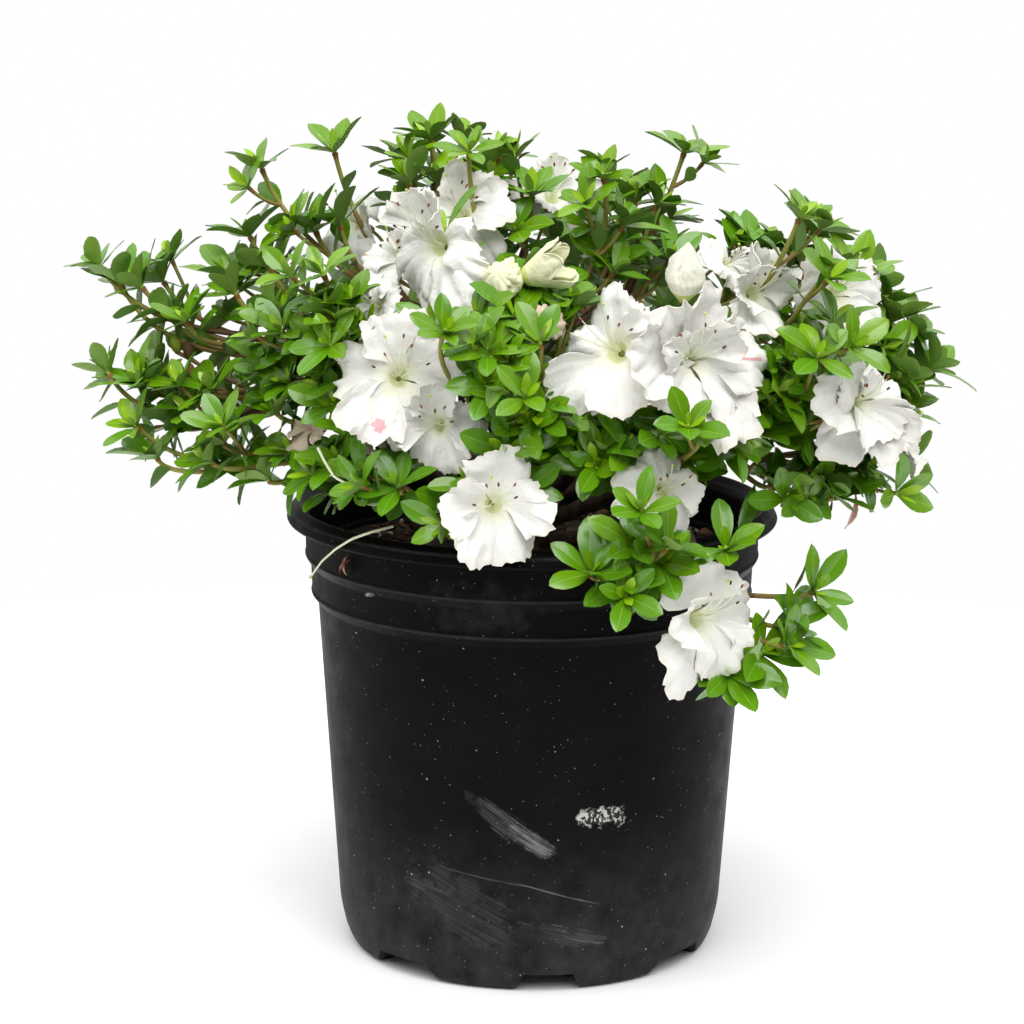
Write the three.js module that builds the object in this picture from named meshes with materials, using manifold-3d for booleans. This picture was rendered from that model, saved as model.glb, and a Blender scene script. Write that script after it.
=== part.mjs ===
// A flowering azalea shrub in its nursery pot, in millimetres, with +Z up and the front along -Y.
// The pot stands on z = 0. Bearings are degrees about the pot's axis: 0 is the front, 90 the right.
// One seeded rule grows every mass of foliage: a stem leaves its bough, shoots leave the stem, each
// shoot ends in a whorl of leaves, and whatever would leave the mass's own space is left off.

import * as THREE from "three";
import { mergeVertices } from "three/addons/utils/BufferGeometryUtils.js";
import Module from "manifold-3d";

const wasm = await Module();
wasm.setup();

// ---------------------------------------------------------------- driving sizes

// The middle of the whole plant's plan lies this far from the pot's axis.
const potAxis = { x: 14, y: 3 };

const clearance = 0.3; // between neighbouring pieces
const grownBy = 1.2 * clearance; // a limb's grown solid has its radii larger by this
const mergeDistance = 1e-4;
const finest = 0.03; // detail smaller than this is smoothed away where pieces are joined

const pot = {
  sides: 36,
  rimRadius: 130,
  rimEdgeHeight: 233,
  topHeight: 241,
  wall: 2.2,
  floorHeight: 10,
  floorThickness: 2.4,
  footRadius: 91.4,
  footInnerRadius: 70,
  footTurn: 5.5, // the narrow slot nearest the front, degrees to the right
};

const slots = {
  height: pot.floorHeight,
  narrow: { bearings: [0, 90, 180, 270], topWidth: 26, bottomWidth: 34 },
  wide: { bearings: [48.4, 131.6, 228.4, 311.6], topWidth: 32, bottomWidth: 48 },
};

const soilLevel = 212;
const heartHeight = 262; // the crown's shoots radiate from this height on the pot's axis

const trunk = {
  sides: 12,
  baseRadius: 21,
  topRadius: 10.5,
  height: 42,
  leanX: 4,
  leanY: -3,
  flareLobes: 5,
  flareDepth: 0.16,
};

const bough = { sides: 6, rootRadius: 4.7, tipRadius: 3.7, sections: 5, rise: 0.34 };

// A mass's stem ends `depth` behind the innermost of its shoot tips.
const stem = { sides: 4, rootRadius: 1.5, endRadius: 1.2, rootSpacing: 1.95, sections: 5, depth: 22 };

const stalk = { sides: 3, rootRadius: 1, tipRadius: 0.9, sections: 3 };

// A shoot ends in a hub with one side for each leaf of its whorl.
const shoot = {
  sides: 3,
  leaves: 6,
  fewestLeaves: 2,
  leaderClaim: 26,
  firstRoot: 0.36, // how far up the stem the lowest shoot starts
  rootRadius: 0.95,
  tipRadius: 0.85,
  straight: 55, // a shorter shoot has no bend
  hubRadius: 1.9,
  hubTop: 1,
  hubBottom: 1.4,
};

const leaf = {
  length: 35,
  halfWidth: 0.22, // these four are shares of the length
  widest: 0.6,
  fold: 0.04,
  droop: 0.08,
  leastOpen: 52, // degrees from the shoot's heading
  mostOpen: 84,
  shorterTries: [1, 0.8, 0.62],
};

const bloom = { claim: 1.28, lobes: 5, throatDepth: 0.34, tubeDepth: 0.74, notch: 0.66, reflex: 0.1 };

// ---------------------------------------------------------------- the plant's layout

// Each bough's tip: bearing, reach from the pot's axis, height. `from` is its height on the trunk.
const boughs = {
  bough_left: { bearing: -90, reach: 96, height: 306, from: 26 },
  bough_left_low: { bearing: -64, reach: 80, height: 277, from: 14 },
  bough_top_left: { bearing: -90, reach: 52, height: 338, from: 37 },
  bough_front_left: { bearing: -34, reach: 62, height: 290, from: 24 },
  bough_front: { bearing: 0, reach: 58, height: 283, from: 15 },
  bough_front_right: { bearing: 32, reach: 66, height: 292, from: 25 },
  bough_over_rim: { bearing: 33, reach: 122, height: 253, from: 7 },
  bough_right_low: { bearing: 62, reach: 84, height: 279, from: 15 },
  bough_right: { bearing: 90, reach: 96, height: 306, from: 27 },
  bough_top_right: { bearing: 92, reach: 50, height: 336, from: 37 },
  bough_back_right: { bearing: 134, reach: 84, height: 296, from: 20 },
  bough_back: { bearing: 178, reach: 70, height: 298, from: 27 },
  bough_back_left: { bearing: -134, reach: 84, height: 294, from: 19 },
};

// The limb that crosses the rim bends down past it, so a second limb carries it on.
const hangingBough = { name: "bough_hanging", from: "bough_over_rim", bearing: 34, reach: 149, height: 228 };

// A mass's crown of shoot tips has its middle at bearing, reach and height, and half sizes across,
// up the crown and inward. `leaders` are longer shoots that stand out of it, `blooms` its flowers:
// bearing, reach and height of the flower's face, the way it faces (bearing, upward tilt), its radius.
const masses = {
  far_left_spray: {
    on: "bough_left", bearing: -91, reach: 206, height: 350, across: 26, up: 12, inward: 34, shoots: 4,
    leaders: [[-90, 216, 354]],
  },
  left_upper_spray: {
    on: "bough_left", bearing: -93, reach: 158, height: 360, across: 30, up: 18, inward: 34, shoots: 5,
    leaders: [[-95, 150, 378]],
  },
  left_middle_spray: {
    on: "bough_left", bearing: -84, reach: 200, height: 300, across: 32, up: 16, inward: 36, shoots: 6,
    leaders: [[-85, 206, 304]],
  },
  left_lower_spray: {
    on: "bough_left_low", bearing: -72, reach: 176, height: 272, across: 34, up: 12, inward: 34, shoots: 5,
    leaders: [[-80, 198, 268]],
  },
  left_shoulder: {
    on: "bough_left_low", bearing: -64, reach: 147, height: 335, across: 30, up: 24, inward: 28, shoots: 5,
    leaders: [[-60, 150, 300]],
  },
  left_over_rim: {
    on: "bough_left_low", bearing: -46, reach: 138, height: 274, across: 34, up: 14, inward: 22, shoots: 5,
  },
  top_left_leaders: {
    on: "bough_top_left", bearing: -94, reach: 112, height: 384, across: 30, up: 12, inward: 26, shoots: 3,
    leaders: [[-94, 143, 414], [-99, 106, 422]],
  },
  top_left_crown: {
    on: "bough_top_left", bearing: -97, reach: 58, height: 428, across: 32, up: 20, inward: 34, shoots: 6,
  },
  front_left_high: {
    on: "bough_front_left", bearing: -48, reach: 134, height: 352, across: 26, up: 24, inward: 26, shoots: 4,
  },
  top_left_blooms: {
    on: "bough_front_left", bearing: -40, reach: 84, height: 388, across: 26, up: 20, inward: 24, shoots: 3,
    blooms: [[-34, 95, 387, -22, 14, 33], [-42, 61, 407, -10, 30, 27], [-56, 106, 380, -50, 30, 22]],
  },
  front_left_blooms: {
    on: "bough_front_left", bearing: -27, reach: 130, height: 318, across: 28, up: 22, inward: 20, shoots: 4,
    blooms: [[-30, 134, 326, -18, 12, 31], [-22, 129, 302, -10, 4, 22]],
  },
  low_front_bloom: {
    on: "bough_front", bearing: -8, reach: 140, height: 268, across: 22, up: 8, inward: 14, shoots: 2,
    blooms: [[-7, 153, 267, 4, 6, 30]],
  },
  front_high: {
    on: "bough_front", bearing: -4, reach: 104, height: 358, across: 32, up: 22, inward: 28, shoots: 6,
  },
  front_middle: {
    on: "bough_front", bearing: 6, reach: 126, height: 306, across: 30, up: 20, inward: 24, shoots: 5,
  },
  front_right_blooms: {
    on: "bough_front_right", bearing: 24, reach: 136, height: 344, across: 36, up: 24, inward: 22, shoots: 3,
    blooms: [[17, 128, 341, 4, 14, 35], [30, 156, 338, 22, 8, 36]],
  },
  front_right_low: {
    on: "bough_front_right", bearing: 27, reach: 142, height: 288, across: 36, up: 14, inward: 20, shoots: 5,
    blooms: [[25, 153, 273, 14, 0, 24]],
  },
  right_front_spray: {
    on: "bough_front_right", bearing: 47, reach: 152, height: 322, across: 28, up: 26, inward: 26, shoots: 5,
  },
  hanging_upper_spray: {
    on: "bough_hanging", bearing: 20, reach: 158, height: 238, across: 28, up: 16, inward: 8, shoots: 5,
  },
  hanging_lower_spray: {
    on: "bough_hanging", bearing: 42, reach: 166, height: 192, across: 34, up: 22, inward: 10, shoots: 5,
    leaders: [[55, 172, 214], [38, 158, 178]],
    blooms: [[31, 168, 211, 26, 10, 32]],
  },
  right_low_spray: {
    on: "bough_right_low", bearing: 70, reach: 178, height: 272, across: 30, up: 14, inward: 26, shoots: 5,
    leaders: [[62, 172, 260], [56, 146, 266]],
    blooms: [[73, 198, 286, 76, 10, 20]],
  },
  right_blooms: {
    on: "bough_right_low", bearing: 58, reach: 182, height: 316, across: 24, up: 22, inward: 20, shoots: 4,
    blooms: [[57, 195, 313, 38, 6, 27]],
  },
  far_right_upper_spray: {
    on: "bough_right", bearing: 90, reach: 185, height: 341, across: 30, up: 18, inward: 30, shoots: 6,
    blooms: [[69, 170, 362, 66, 26, 25]],
  },
  far_right_lower_spray: {
    on: "bough_right", bearing: 87, reach: 192, height: 296, across: 28, up: 18, inward: 30, shoots: 5,
    leaders: [[86, 192, 304]],
  },
  right_shoulder: {
    on: "bough_top_right", bearing: 86, reach: 138, height: 368, across: 28, up: 20, inward: 32, shoots: 5,
    leaders: [[85, 142, 388], [84, 166, 362]],
    blooms: [[56, 136, 366, 52, 34, 22]],
  },
  top_right_crown: {
    on: "bough_top_right", bearing: 80, reach: 58, height: 400, across: 32, up: 22, inward: 34, shoots: 5,
    leaders: [[94, 78, 424]],
  },
  top_middle_crown: {
    on: "bough_front", bearing: -60, reach: 16, height: 422, across: 30, up: 24, inward: 34, shoots: 5,
    blooms: [[118, 12, 404, 20, 50, 24]],
  },
  back_right_spray: {
    on: "bough_back_right", bearing: 138, reach: 166, height: 322, across: 40, up: 24, inward: 30, shoots: 5,
    blooms: [[124, 168, 338, 128, 24, 28]],
  },
  back_right_low_spray: {
    on: "bough_back_right", bearing: 114, reach: 177, height: 283, across: 36, up: 14, inward: 26, shoots: 5,
  },
  back_right_crown: {
    on: "bough_back", bearing: 146, reach: 96, height: 376, across: 34, up: 24, inward: 28, shoots: 5,
    blooms: [[160, 112, 372, 158, 34, 30]],
  },
  back_middle_spray: {
    on: "bough_back", bearing: 178, reach: 156, height: 306, across: 38, up: 26, inward: 28, shoots: 5,
    blooms: [[184, 172, 316, 188, 16, 30]],
  },
  back_left_crown: {
    on: "bough_back", bearing: -150, reach: 92, height: 382, across: 34, up: 24, inward: 28, shoots: 5,
  },
  back_left_spray: {
    on: "bough_back_left", bearing: -140, reach: 160, height: 324, across: 40, up: 24, inward: 30, shoots: 5,
    blooms: [[-146, 168, 316, -144, 18, 30]],
  },
  back_left_low_spray: {
    on: "bough_back_left", bearing: -112, reach: 178, height: 290, across: 36, up: 14, inward: 28, shoots: 5,
  },
};

// ---------------------------------------------------------------- materials

function material(color, roughness) {
  return new THREE.MeshStandardMaterial({ color, roughness, metalness: 0 });
}

const potPlastic = material(0x26272a, 0.5);
const peatMix = material(0x2a1f17, 0.95);
const oldBark = material(0x5b4433, 0.85);
const foliage = material(0x4f9a1c, 0.45);

// ---------------------------------------------------------------- small tools

const up = new THREE.Vector3(0, 0, 1);
const right = new THREE.Vector3(1, 0, 0);
const goldenShare = (Math.sqrt(5) - 1) / 2;

// A level-ish direction square to the one given.
function squareTo(direction) {
  return new THREE.Vector3().crossVectors(Math.abs(direction.z) < 0.9 ? up : right, direction).normalize();
}

function at(bearing, reach, height) {
  const turn = THREE.MathUtils.degToRad(bearing);
  return new THREE.Vector3(reach * Math.sin(turn), -reach * Math.cos(turn), height);
}

// The way something faces: a compass bearing and a tilt above level, in degrees.
function facing(bearing, tilt) {
  const rise = THREE.MathUtils.degToRad(tilt);
  return at(bearing, Math.cos(rise), Math.sin(rise));
}

function mix(a, b, share) {
  return a.clone().lerp(b, share);
}

function along(start, direction, distance) {
  return start.clone().addScaledVector(direction, distance);
}

function quadratic(start, control, end, t) {
  return mix(mix(start, control, t), mix(control, end, t), t);
}

function seededRandom(seed) {
  let state = seed >>> 0;
  return () => {
    state = (state + 0x6d2b79f5) >>> 0;
    let word = Math.imul(state ^ (state >>> 15), state | 1);
    word ^= word + Math.imul(word ^ (word >>> 7), word | 61);
    return ((word ^ (word >>> 14)) >>> 0) / 4294967296;
  };
}

// A closed geometry as a solid: shared corners merged, and faces of no area dropped.
function solidFrom(geometry) {
  const plain = geometry.clone();
  plain.deleteAttribute("normal");
  plain.deleteAttribute("uv");
  const merged = mergeVertices(plain, mergeDistance);
  const corners = [];
  const index = merged.index.array;
  for (let i = 0; i < index.length; i += 3) {
    const [a, b, c] = [index[i], index[i + 1], index[i + 2]];
    if (a !== b && b !== c && c !== a) corners.push(a, b, c);
  }
  const mesh = new wasm.Mesh({
    numProp: 3,
    vertProperties: new Float32Array(merged.attributes.position.array),
    triVerts: new Uint32Array(corners),
  });
  return new wasm.Manifold(mesh);
}

function geometryFrom(points, faces) {
  const geometry = new THREE.BufferGeometry();
  geometry.setAttribute("position", new THREE.Float32BufferAttribute(points.flatMap((p) => p.toArray()), 3));
  geometry.setIndex(faces.flat());
  return geometry;
}

// The largest body of a solid: loose scraps and the walls of sealed hollows are dropped.
function mainBody(solid) {
  return solid.decompose().reduce((best, piece) => (piece.volume() > best.volume() ? piece : best));
}

function meshFrom(name, solid, surface) {
  const { numProp, vertProperties, triVerts } = solid.getMesh();
  const geometry = new THREE.BufferGeometry();
  geometry.setAttribute("position", new THREE.Float32BufferAttribute(vertProperties, numProp));
  geometry.setIndex(Array.from(triVerts));
  geometry.computeVertexNormals();
  const mesh = new THREE.Mesh(geometry, surface.clone());
  mesh.name = name;
  return mesh;
}

// ---------------------------------------------------------------- limbs

// A round tapering limb through the given points. `swell(angle, i)` may widen a section.
function limbGeometry(points, radii, sides, swell = () => 1) {
  const corners = [];
  const faces = [];
  const heading = new THREE.Vector3();
  let side;
  points.forEach((point, i) => {
    const before = points[Math.max(i - 1, 0)];
    const after = points[Math.min(i + 1, points.length - 1)];
    heading.subVectors(after, before).normalize();
    if (i === 0) side = squareTo(heading);
    side.addScaledVector(heading, -side.dot(heading)).normalize();
    const other = new THREE.Vector3().crossVectors(heading, side);
    for (let k = 0; k < sides; k += 1) {
      const angle = (2 * Math.PI * k) / sides;
      const radius = radii[i] * swell(angle, i);
      const corner = along(point, side, radius * Math.cos(angle));
      corners.push(along(corner, other, radius * Math.sin(angle)));
    }
  });
  for (let i = 0; i + 1 < points.length; i += 1) {
    for (let k = 0; k < sides; k += 1) {
      const next = (k + 1) % sides;
      const [a, b] = [i * sides + k, i * sides + next];
      faces.push([a, b, b + sides], [a, b + sides, a + sides]);
    }
  }
  const last = (points.length - 1) * sides;
  for (let k = 1; k + 1 < sides; k += 1) {
    faces.push([0, k + 1, k], [last, last + k, last + k + 1]);
  }
  return geometryFrom(corners, faces);
}

function taper(from, to, count) {
  return Array.from({ length: count }, (_, i) => THREE.MathUtils.lerp(from, to, i / (count - 1)));
}

function curvePoints(start, control, end, count) {
  return Array.from({ length: count }, (_, i) => quadratic(start, control, end, i / (count - 1)));
}

// A limb is its centre line, its solid, and the same solid grown by a little over the clearance.
function makeLimb(owner, points, radii, sides) {
  const grownPoints = points.map((point) => point.clone());
  const first = points[0].clone().sub(points[1]).normalize();
  const final = points.at(-1).clone().sub(points.at(-2)).normalize();
  grownPoints[0].addScaledVector(first, clearance);
  grownPoints.at(-1).addScaledVector(final, clearance);
  return {
    owner,
    points,
    solid: solidFrom(limbGeometry(points, radii, sides)),
    grown: solidFrom(limbGeometry(grownPoints, radii.map((radius) => radius + grownBy), sides)),
    tip: points.at(-1),
    heading: final,
  };
}

// ---------------------------------------------------------------- pot and potting mix

// Half outline of the pot's outside from the foot up, as radius and height. Two stacking rings
// step the wall in under the rim, and the rim rolls out and down to a thin edge.
const outerWall = [
  [pot.footRadius, 0],
  [96, 2],
  [99, 8],
  [102.3, 22],
  [113.6, 188],
  [116.4, 192.5],
  [117.3, 197],
  [117.3, 208],
  [119.5, 212.5],
  [120.2, 217],
  [120.2, pot.rimEdgeHeight - 2],
  [pot.rimRadius - 0.6, pot.rimEdgeHeight - 1.4],
  [pot.rimRadius, pot.rimEdgeHeight],
  [127.8, 237.6],
  [123.4, pot.topHeight],
];

const innerWall = [
  [118, 234],
  [117.8, 214],
  [111.4, 187],
  [99.6, 18],
  [97, pot.floorHeight + pot.floorThickness],
];

function lathe(outline, sides) {
  const profile = outline.map(([radius, height]) => new THREE.Vector2(radius, height));
  return new THREE.LatheGeometry(profile, sides).rotateX(Math.PI / 2);
}

function slotCutter(bearing, { topWidth, bottomWidth }) {
  const overlap = 3;
  const spread = (bottomWidth - topWidth) / 2 / slots.height;
  const outline = new THREE.Shape([
    new THREE.Vector2(-topWidth / 2, slots.height),
    new THREE.Vector2(-bottomWidth / 2 - spread * overlap, -overlap),
    new THREE.Vector2(bottomWidth / 2 + spread * overlap, -overlap),
    new THREE.Vector2(topWidth / 2, slots.height),
  ]);
  const depth = pot.footRadius - pot.footInnerRadius + 30;
  const cutter = new THREE.ExtrudeGeometry(outline, { depth, bevelEnabled: false });
  cutter.translate(0, 0, pot.footInnerRadius - 10);
  cutter.rotateX(Math.PI / 2);
  cutter.rotateZ(THREE.MathUtils.degToRad(bearing + pot.footTurn));
  return solidFrom(cutter);
}

function makePot() {
  const underside = [
    [0, pot.floorHeight],
    [pot.footInnerRadius, pot.floorHeight],
    [pot.footInnerRadius, 0],
  ];
  const inside = [...innerWall, [0, pot.floorHeight + pot.floorThickness]];
  let shell = solidFrom(lathe([...underside, ...outerWall, ...inside], pot.sides));
  for (const kind of [slots.narrow, slots.wide]) {
    for (const bearing of kind.bearings) {
      shell = shell.subtract(slotCutter(bearing, kind));
    }
  }
  return mainBody(shell);
}

// The space that the pot and its mouth fill, a little proud of the outside: no foliage enters it.
function potSpace() {
  const proud = outerWall.map(([radius, height]) => [radius + 2 * clearance, height]);
  return solidFrom(lathe([[0, 0], ...proud, [0, pot.topHeight + 2 * clearance]], pot.sides));
}

// The mix fills the pot to the soil level, clear of the inner wall all round.
function makePottingMix() {
  const wall = innerWall.filter(([, height]) => height < soilLevel).reverse();
  const above = innerWall.find(([, height], i) => height > soilLevel && innerWall[i + 1][1] < soilLevel);
  const below = wall.at(-1);
  const share = (soilLevel - below[1]) / (above[1] - below[1]);
  const edge = [THREE.MathUtils.lerp(below[0], above[0], share), soilLevel];
  const outline = [...wall, edge].map(([radius, height], i) => [
    radius - 1.3 * clearance,
    i === 0 ? height + clearance : height,
  ]);
  return solidFrom(lathe([[0, outline[0][1]], ...outline, [0, soilLevel]], pot.sides));
}

// ---------------------------------------------------------------- trunk and boughs

function trunkPoint(height) {
  const share = height / trunk.height;
  const bend = share * share;
  return new THREE.Vector3(trunk.leanX * bend, trunk.leanY * bend, soilLevel + clearance + height);
}

function trunkRadius(height) {
  const share = height / trunk.height;
  const flare = Math.exp(-5 * share);
  return trunk.topRadius + 2.5 * (1 - share) + (trunk.baseRadius - trunk.topRadius - 2.5) * flare;
}

function makeTrunk() {
  const heights = [0, 3, 7, 13, 21, 31, trunk.height];
  const points = heights.map(trunkPoint);
  const radii = heights.map(trunkRadius);
  const lobed = (angle, i) => {
    const depth = trunk.flareDepth * Math.exp((-5 * heights[i]) / trunk.height);
    return 1 + depth * Math.cos(trunk.flareLobes * angle);
  };
  const grown = radii.map((radius) => radius * (1 + trunk.flareDepth) + grownBy);
  return {
    owner: "trunk",
    solid: solidFrom(limbGeometry(points, radii, trunk.sides, lobed)),
    grown: solidFrom(limbGeometry(points, grown, trunk.sides)),
  };
}

// A bough leaves the trunk's side, swings outward and then lifts to its tip.
function makeBough(name, { bearing, reach, height, from }) {
  const root = trunkPoint(from);
  const tip = at(bearing, reach, height);
  const span = root.distanceTo(tip);
  const control = mix(root, tip, 0.5).addScaledVector(up, -bough.rise * 0.4 * span);
  control.z = Math.max(control.z, soilLevel + 16);
  const points = curvePoints(root, control, tip, bough.sections);
  return makeLimb(name, points, taper(bough.rootRadius, bough.tipRadius, bough.sections), bough.sides);
}

function makeHangingBough(carrier) {
  const tip = at(hangingBough.bearing, hangingBough.reach, hangingBough.height);
  const root = along(carrier.tip, carrier.heading, clearance);
  const control = along(root, carrier.heading, 16);
  const points = curvePoints(root, control, tip, bough.sections);
  return makeLimb(hangingBough.name, points, taper(bough.tipRadius, 3, bough.sections), bough.sides);
}

// ---------------------------------------------------------------- masses of foliage

// Where a mass stands, and the three ways across it: along the crown, up it, and out of it.
function massFrame(mass) {
  const centre = at(mass.bearing, mass.reach, mass.height);
  const out = centre.clone().sub(new THREE.Vector3(0, 0, heartHeight)).normalize();
  const across = new THREE.Vector3().crossVectors(up, out).normalize();
  const rise = new THREE.Vector3().crossVectors(out, across);
  return { centre, out, across, rise };
}

// The spots that a mass claims, with their sizes: the middle of its crown, its leaders and flowers.
function claims(name) {
  const { across, up: rise, inward, leaders = [], blooms = [] } = masses[name];
  const crown = { centre: massFrame(masses[name]).centre, size: (across + rise + inward) / 3 };
  const tall = leaders.map((leader) => ({ centre: at(...leader), size: shoot.leaderClaim }));
  const flowers = blooms.map(([bearing, reach, height, , , radius]) => {
    return { centre: at(bearing, reach, height), size: bloom.claim * radius };
  });
  return [crown, ...tall, ...flowers];
}

// A mass's space is convex round each spot that it claims: what lies there is nearer to that spot
// than to any spot of another mass, each distance being cut by the spot's size. The test is true
// where every corner of a shape lies in the space round one spot, so the whole shape does.
function makeSpace(name) {
  const rivals = Object.keys(masses).filter((other) => other !== name).flatMap(claims);
  return (corners) =>
    claims(name).some((own) =>
      corners.every((corner) => {
        const ownClaim = corner.distanceToSquared(own.centre) - own.size ** 2;
        return rivals.every((rival) => {
          const claim = corner.distanceToSquared(rival.centre) - rival.size ** 2;
          return claim - ownClaim > 1.5 * clearance * rival.centre.distanceTo(own.centre);
        });
      }),
    );
}

// The ends of a mass's shoots: its leaders, then the rest, spread evenly through its crown.
function shootTips(name, random) {
  const mass = masses[name];
  const { centre, out, across, rise } = massFrame(mass);
  const turn = random() * 2 * Math.PI;
  const tips = (mass.leaders ?? []).map((leader) => at(...leader));
  for (let i = 0; i < mass.shoots; i += 1) {
    const radius = Math.sqrt((i + 0.5) / mass.shoots);
    const angle = turn + 2 * Math.PI * i * goldenShare;
    const depth = mass.inward * ((i * goldenShare) % 1);
    const tip = along(centre, across, mass.across * radius * Math.cos(angle));
    tip.addScaledVector(rise, mass.up * radius * Math.sin(angle));
    tips.push(tip.addScaledVector(out, -depth));
  }
  return tips;
}

// Stems on one bough start side by side on its tip, each on the side that it heads for.
function stemRoots(carrier, names) {
  const { tip, heading } = carrier;
  const side = squareTo(heading);
  const other = new THREE.Vector3().crossVectors(heading, side);
  const headings = names.map((name) => massFrame(masses[name]).centre.sub(tip).normalize());
  const mean = headings.reduce((sum, one) => sum.add(one), new THREE.Vector3()).divideScalar(names.length);
  const turns = headings.map((one, k) => {
    const away = one.clone().sub(mean);
    return { k, angle: Math.atan2(away.dot(other), away.dot(side)) };
  });
  turns.sort((a, b) => a.angle - b.angle);
  const step = (2 * Math.PI) / names.length;
  const phase = turns.reduce((sum, turn, order) => sum + turn.angle - order * step, 0) / names.length;
  const spacing = names.length > 1 ? stem.rootSpacing : 0;
  const roots = [];
  turns.forEach(({ k }, order) => {
    const angle = phase + order * step;
    const root = along(tip, heading, clearance);
    root.addScaledVector(side, spacing * Math.cos(angle)).addScaledVector(other, spacing * Math.sin(angle));
    roots[k] = root;
  });
  return roots;
}

// The stem runs from its bough to the back of its mass, and a little way into it.
function makeStem(name, root, heading) {
  const { centre, out } = massFrame(masses[name]);
  const end = along(centre, out, -masses[name].inward - stem.depth);
  const control = along(root, heading, 0.3 * root.distanceTo(end));
  const points = curvePoints(root, control, end, stem.sections);
  return makeLimb(name, points, taper(stem.rootRadius, stem.endRadius, stem.sections), stem.sides);
}

function pointOn(points, share) {
  const place = share * (points.length - 1);
  const i = Math.min(Math.floor(place), points.length - 2);
  return mix(points[i], points[i + 1], place - i);
}

// A shoot leaves the stem along its line and curves to its tip, which turns up toward the light.
function shootPath(stemLimb, place, tip, out, random) {
  const root = pointOn(stemLimb.points, THREE.MathUtils.lerp(shoot.firstRoot, 1, place));
  const lift = new THREE.Vector3(random() - 0.5, random() - 0.5, 0).multiplyScalar(0.5);
  const heading = out.clone().multiplyScalar(0.75).addScaledVector(up, 0.6).add(lift).normalize();
  const control = along(tip, heading, -0.45 * root.distanceTo(tip));
  const sections = root.distanceTo(tip) > shoot.straight ? 3 : 2;
  return { points: curvePoints(root, control, tip, sections), heading };
}

// A whorl's leaves: each heads away from the shoot between two notches of its hub.
function whorl(heading, side, other, random) {
  const leaves = [];
  for (let i = 0; i < shoot.leaves; i += 1) {
    const angle = (2 * Math.PI * (i + 0.5 + 0.3 * (random() - 0.5))) / shoot.leaves;
    const open = THREE.MathUtils.degToRad(THREE.MathUtils.lerp(leaf.leastOpen, leaf.mostOpen, random()));
    const away = side.clone().multiplyScalar(Math.cos(angle)).addScaledVector(other, Math.sin(angle));
    const direction = heading.clone().multiplyScalar(Math.cos(open)).addScaledVector(away, Math.sin(open));
    leaves.push({ direction, length: leaf.length * (0.86 + 0.26 * random()) });
  }
  return leaves;
}

// A leaf's outline past its root: one side corner, the tip, the other side corner.
function leafCorners(root, heading, direction, length) {
  const side = new THREE.Vector3().crossVectors(heading, direction).normalize();
  const top = new THREE.Vector3().crossVectors(direction, side).normalize();
  const shoulder = along(along(root, direction, leaf.widest * length), top, leaf.fold * length);
  return [
    along(shoulder, side, -leaf.halfWidth * length),
    along(along(root, direction, length), top, -leaf.droop * length),
    along(shoulder, side, leaf.halfWidth * length),
  ];
}

// A shoot and its whorl as one closed skin. The leaves are thickest at the hub, where they join
// the shoot's end ring, and thin out to their edges. `outlines` has null where a leaf is left off.
function shootGeometry(points, side, other, heading, outlines) {
  const [sides, count] = [shoot.sides, shoot.leaves];
  const radii = taper(shoot.rootRadius, shoot.tipRadius, points.length);
  const ring = (centre, radius, corners) =>
    Array.from({ length: corners }, (_, i) => {
      const angle = (2 * Math.PI * i) / corners;
      return along(along(centre, side, radius * Math.cos(angle)), other, radius * Math.sin(angle));
    });
  const tip = points.at(-1);
  const corners = points.slice(0, -1).flatMap((point, i) => ring(point, radii[i], sides));
  const faces = [[0, 2, 1]];
  for (let start = 0; start + sides < corners.length; start += sides) {
    for (let i = 0; i < sides; i += 1) {
      const [a, b] = [start + i, start + ((i + 1) % sides)];
      faces.push([a, b, b + sides], [a, b + sides, a + sides]);
    }
  }
  const below = corners.length - sides;
  const last = corners.length;
  const notch = last + count;
  const top = notch + count;
  corners.push(...ring(along(tip, heading, -shoot.hubBottom), shoot.tipRadius, count));
  corners.push(...ring(tip, shoot.hubRadius, count), along(tip, heading, shoot.hubTop));
  for (let i = 0; i < count; i += 1) {
    const [a, b] = [Math.floor((sides * i) / count), Math.floor((sides * (i + 1)) / count) % sides];
    faces.push([below + a, last + ((i + 1) % count), last + i]);
    if (a !== b) faces.push([below + a, below + b, last + ((i + 1) % count)]);
  }
  outlines.forEach((outline, i) => {
    const next = (i + 1) % count;
    const [ringA, ringB, notchA, notchB] = [last + i, last + next, notch + i, notch + next];
    if (!outline) {
      faces.push([top, notchA, notchB], [ringA, ringB, notchB], [ringA, notchB, notchA]);
      return;
    }
    const first = corners.length;
    corners.push(...outline);
    const [left, end, right] = [first, first + 1, first + 2];
    faces.push([top, notchA, left], [top, left, end], [top, end, right], [top, right, notchB]);
    faces.push([ringA, left, notchA], [ringA, end, left], [ringA, ringB, end]);
    faces.push([ringB, right, end], [ringB, notchB, right]);
  });
  return geometryFrom(corners, faces);
}

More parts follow.
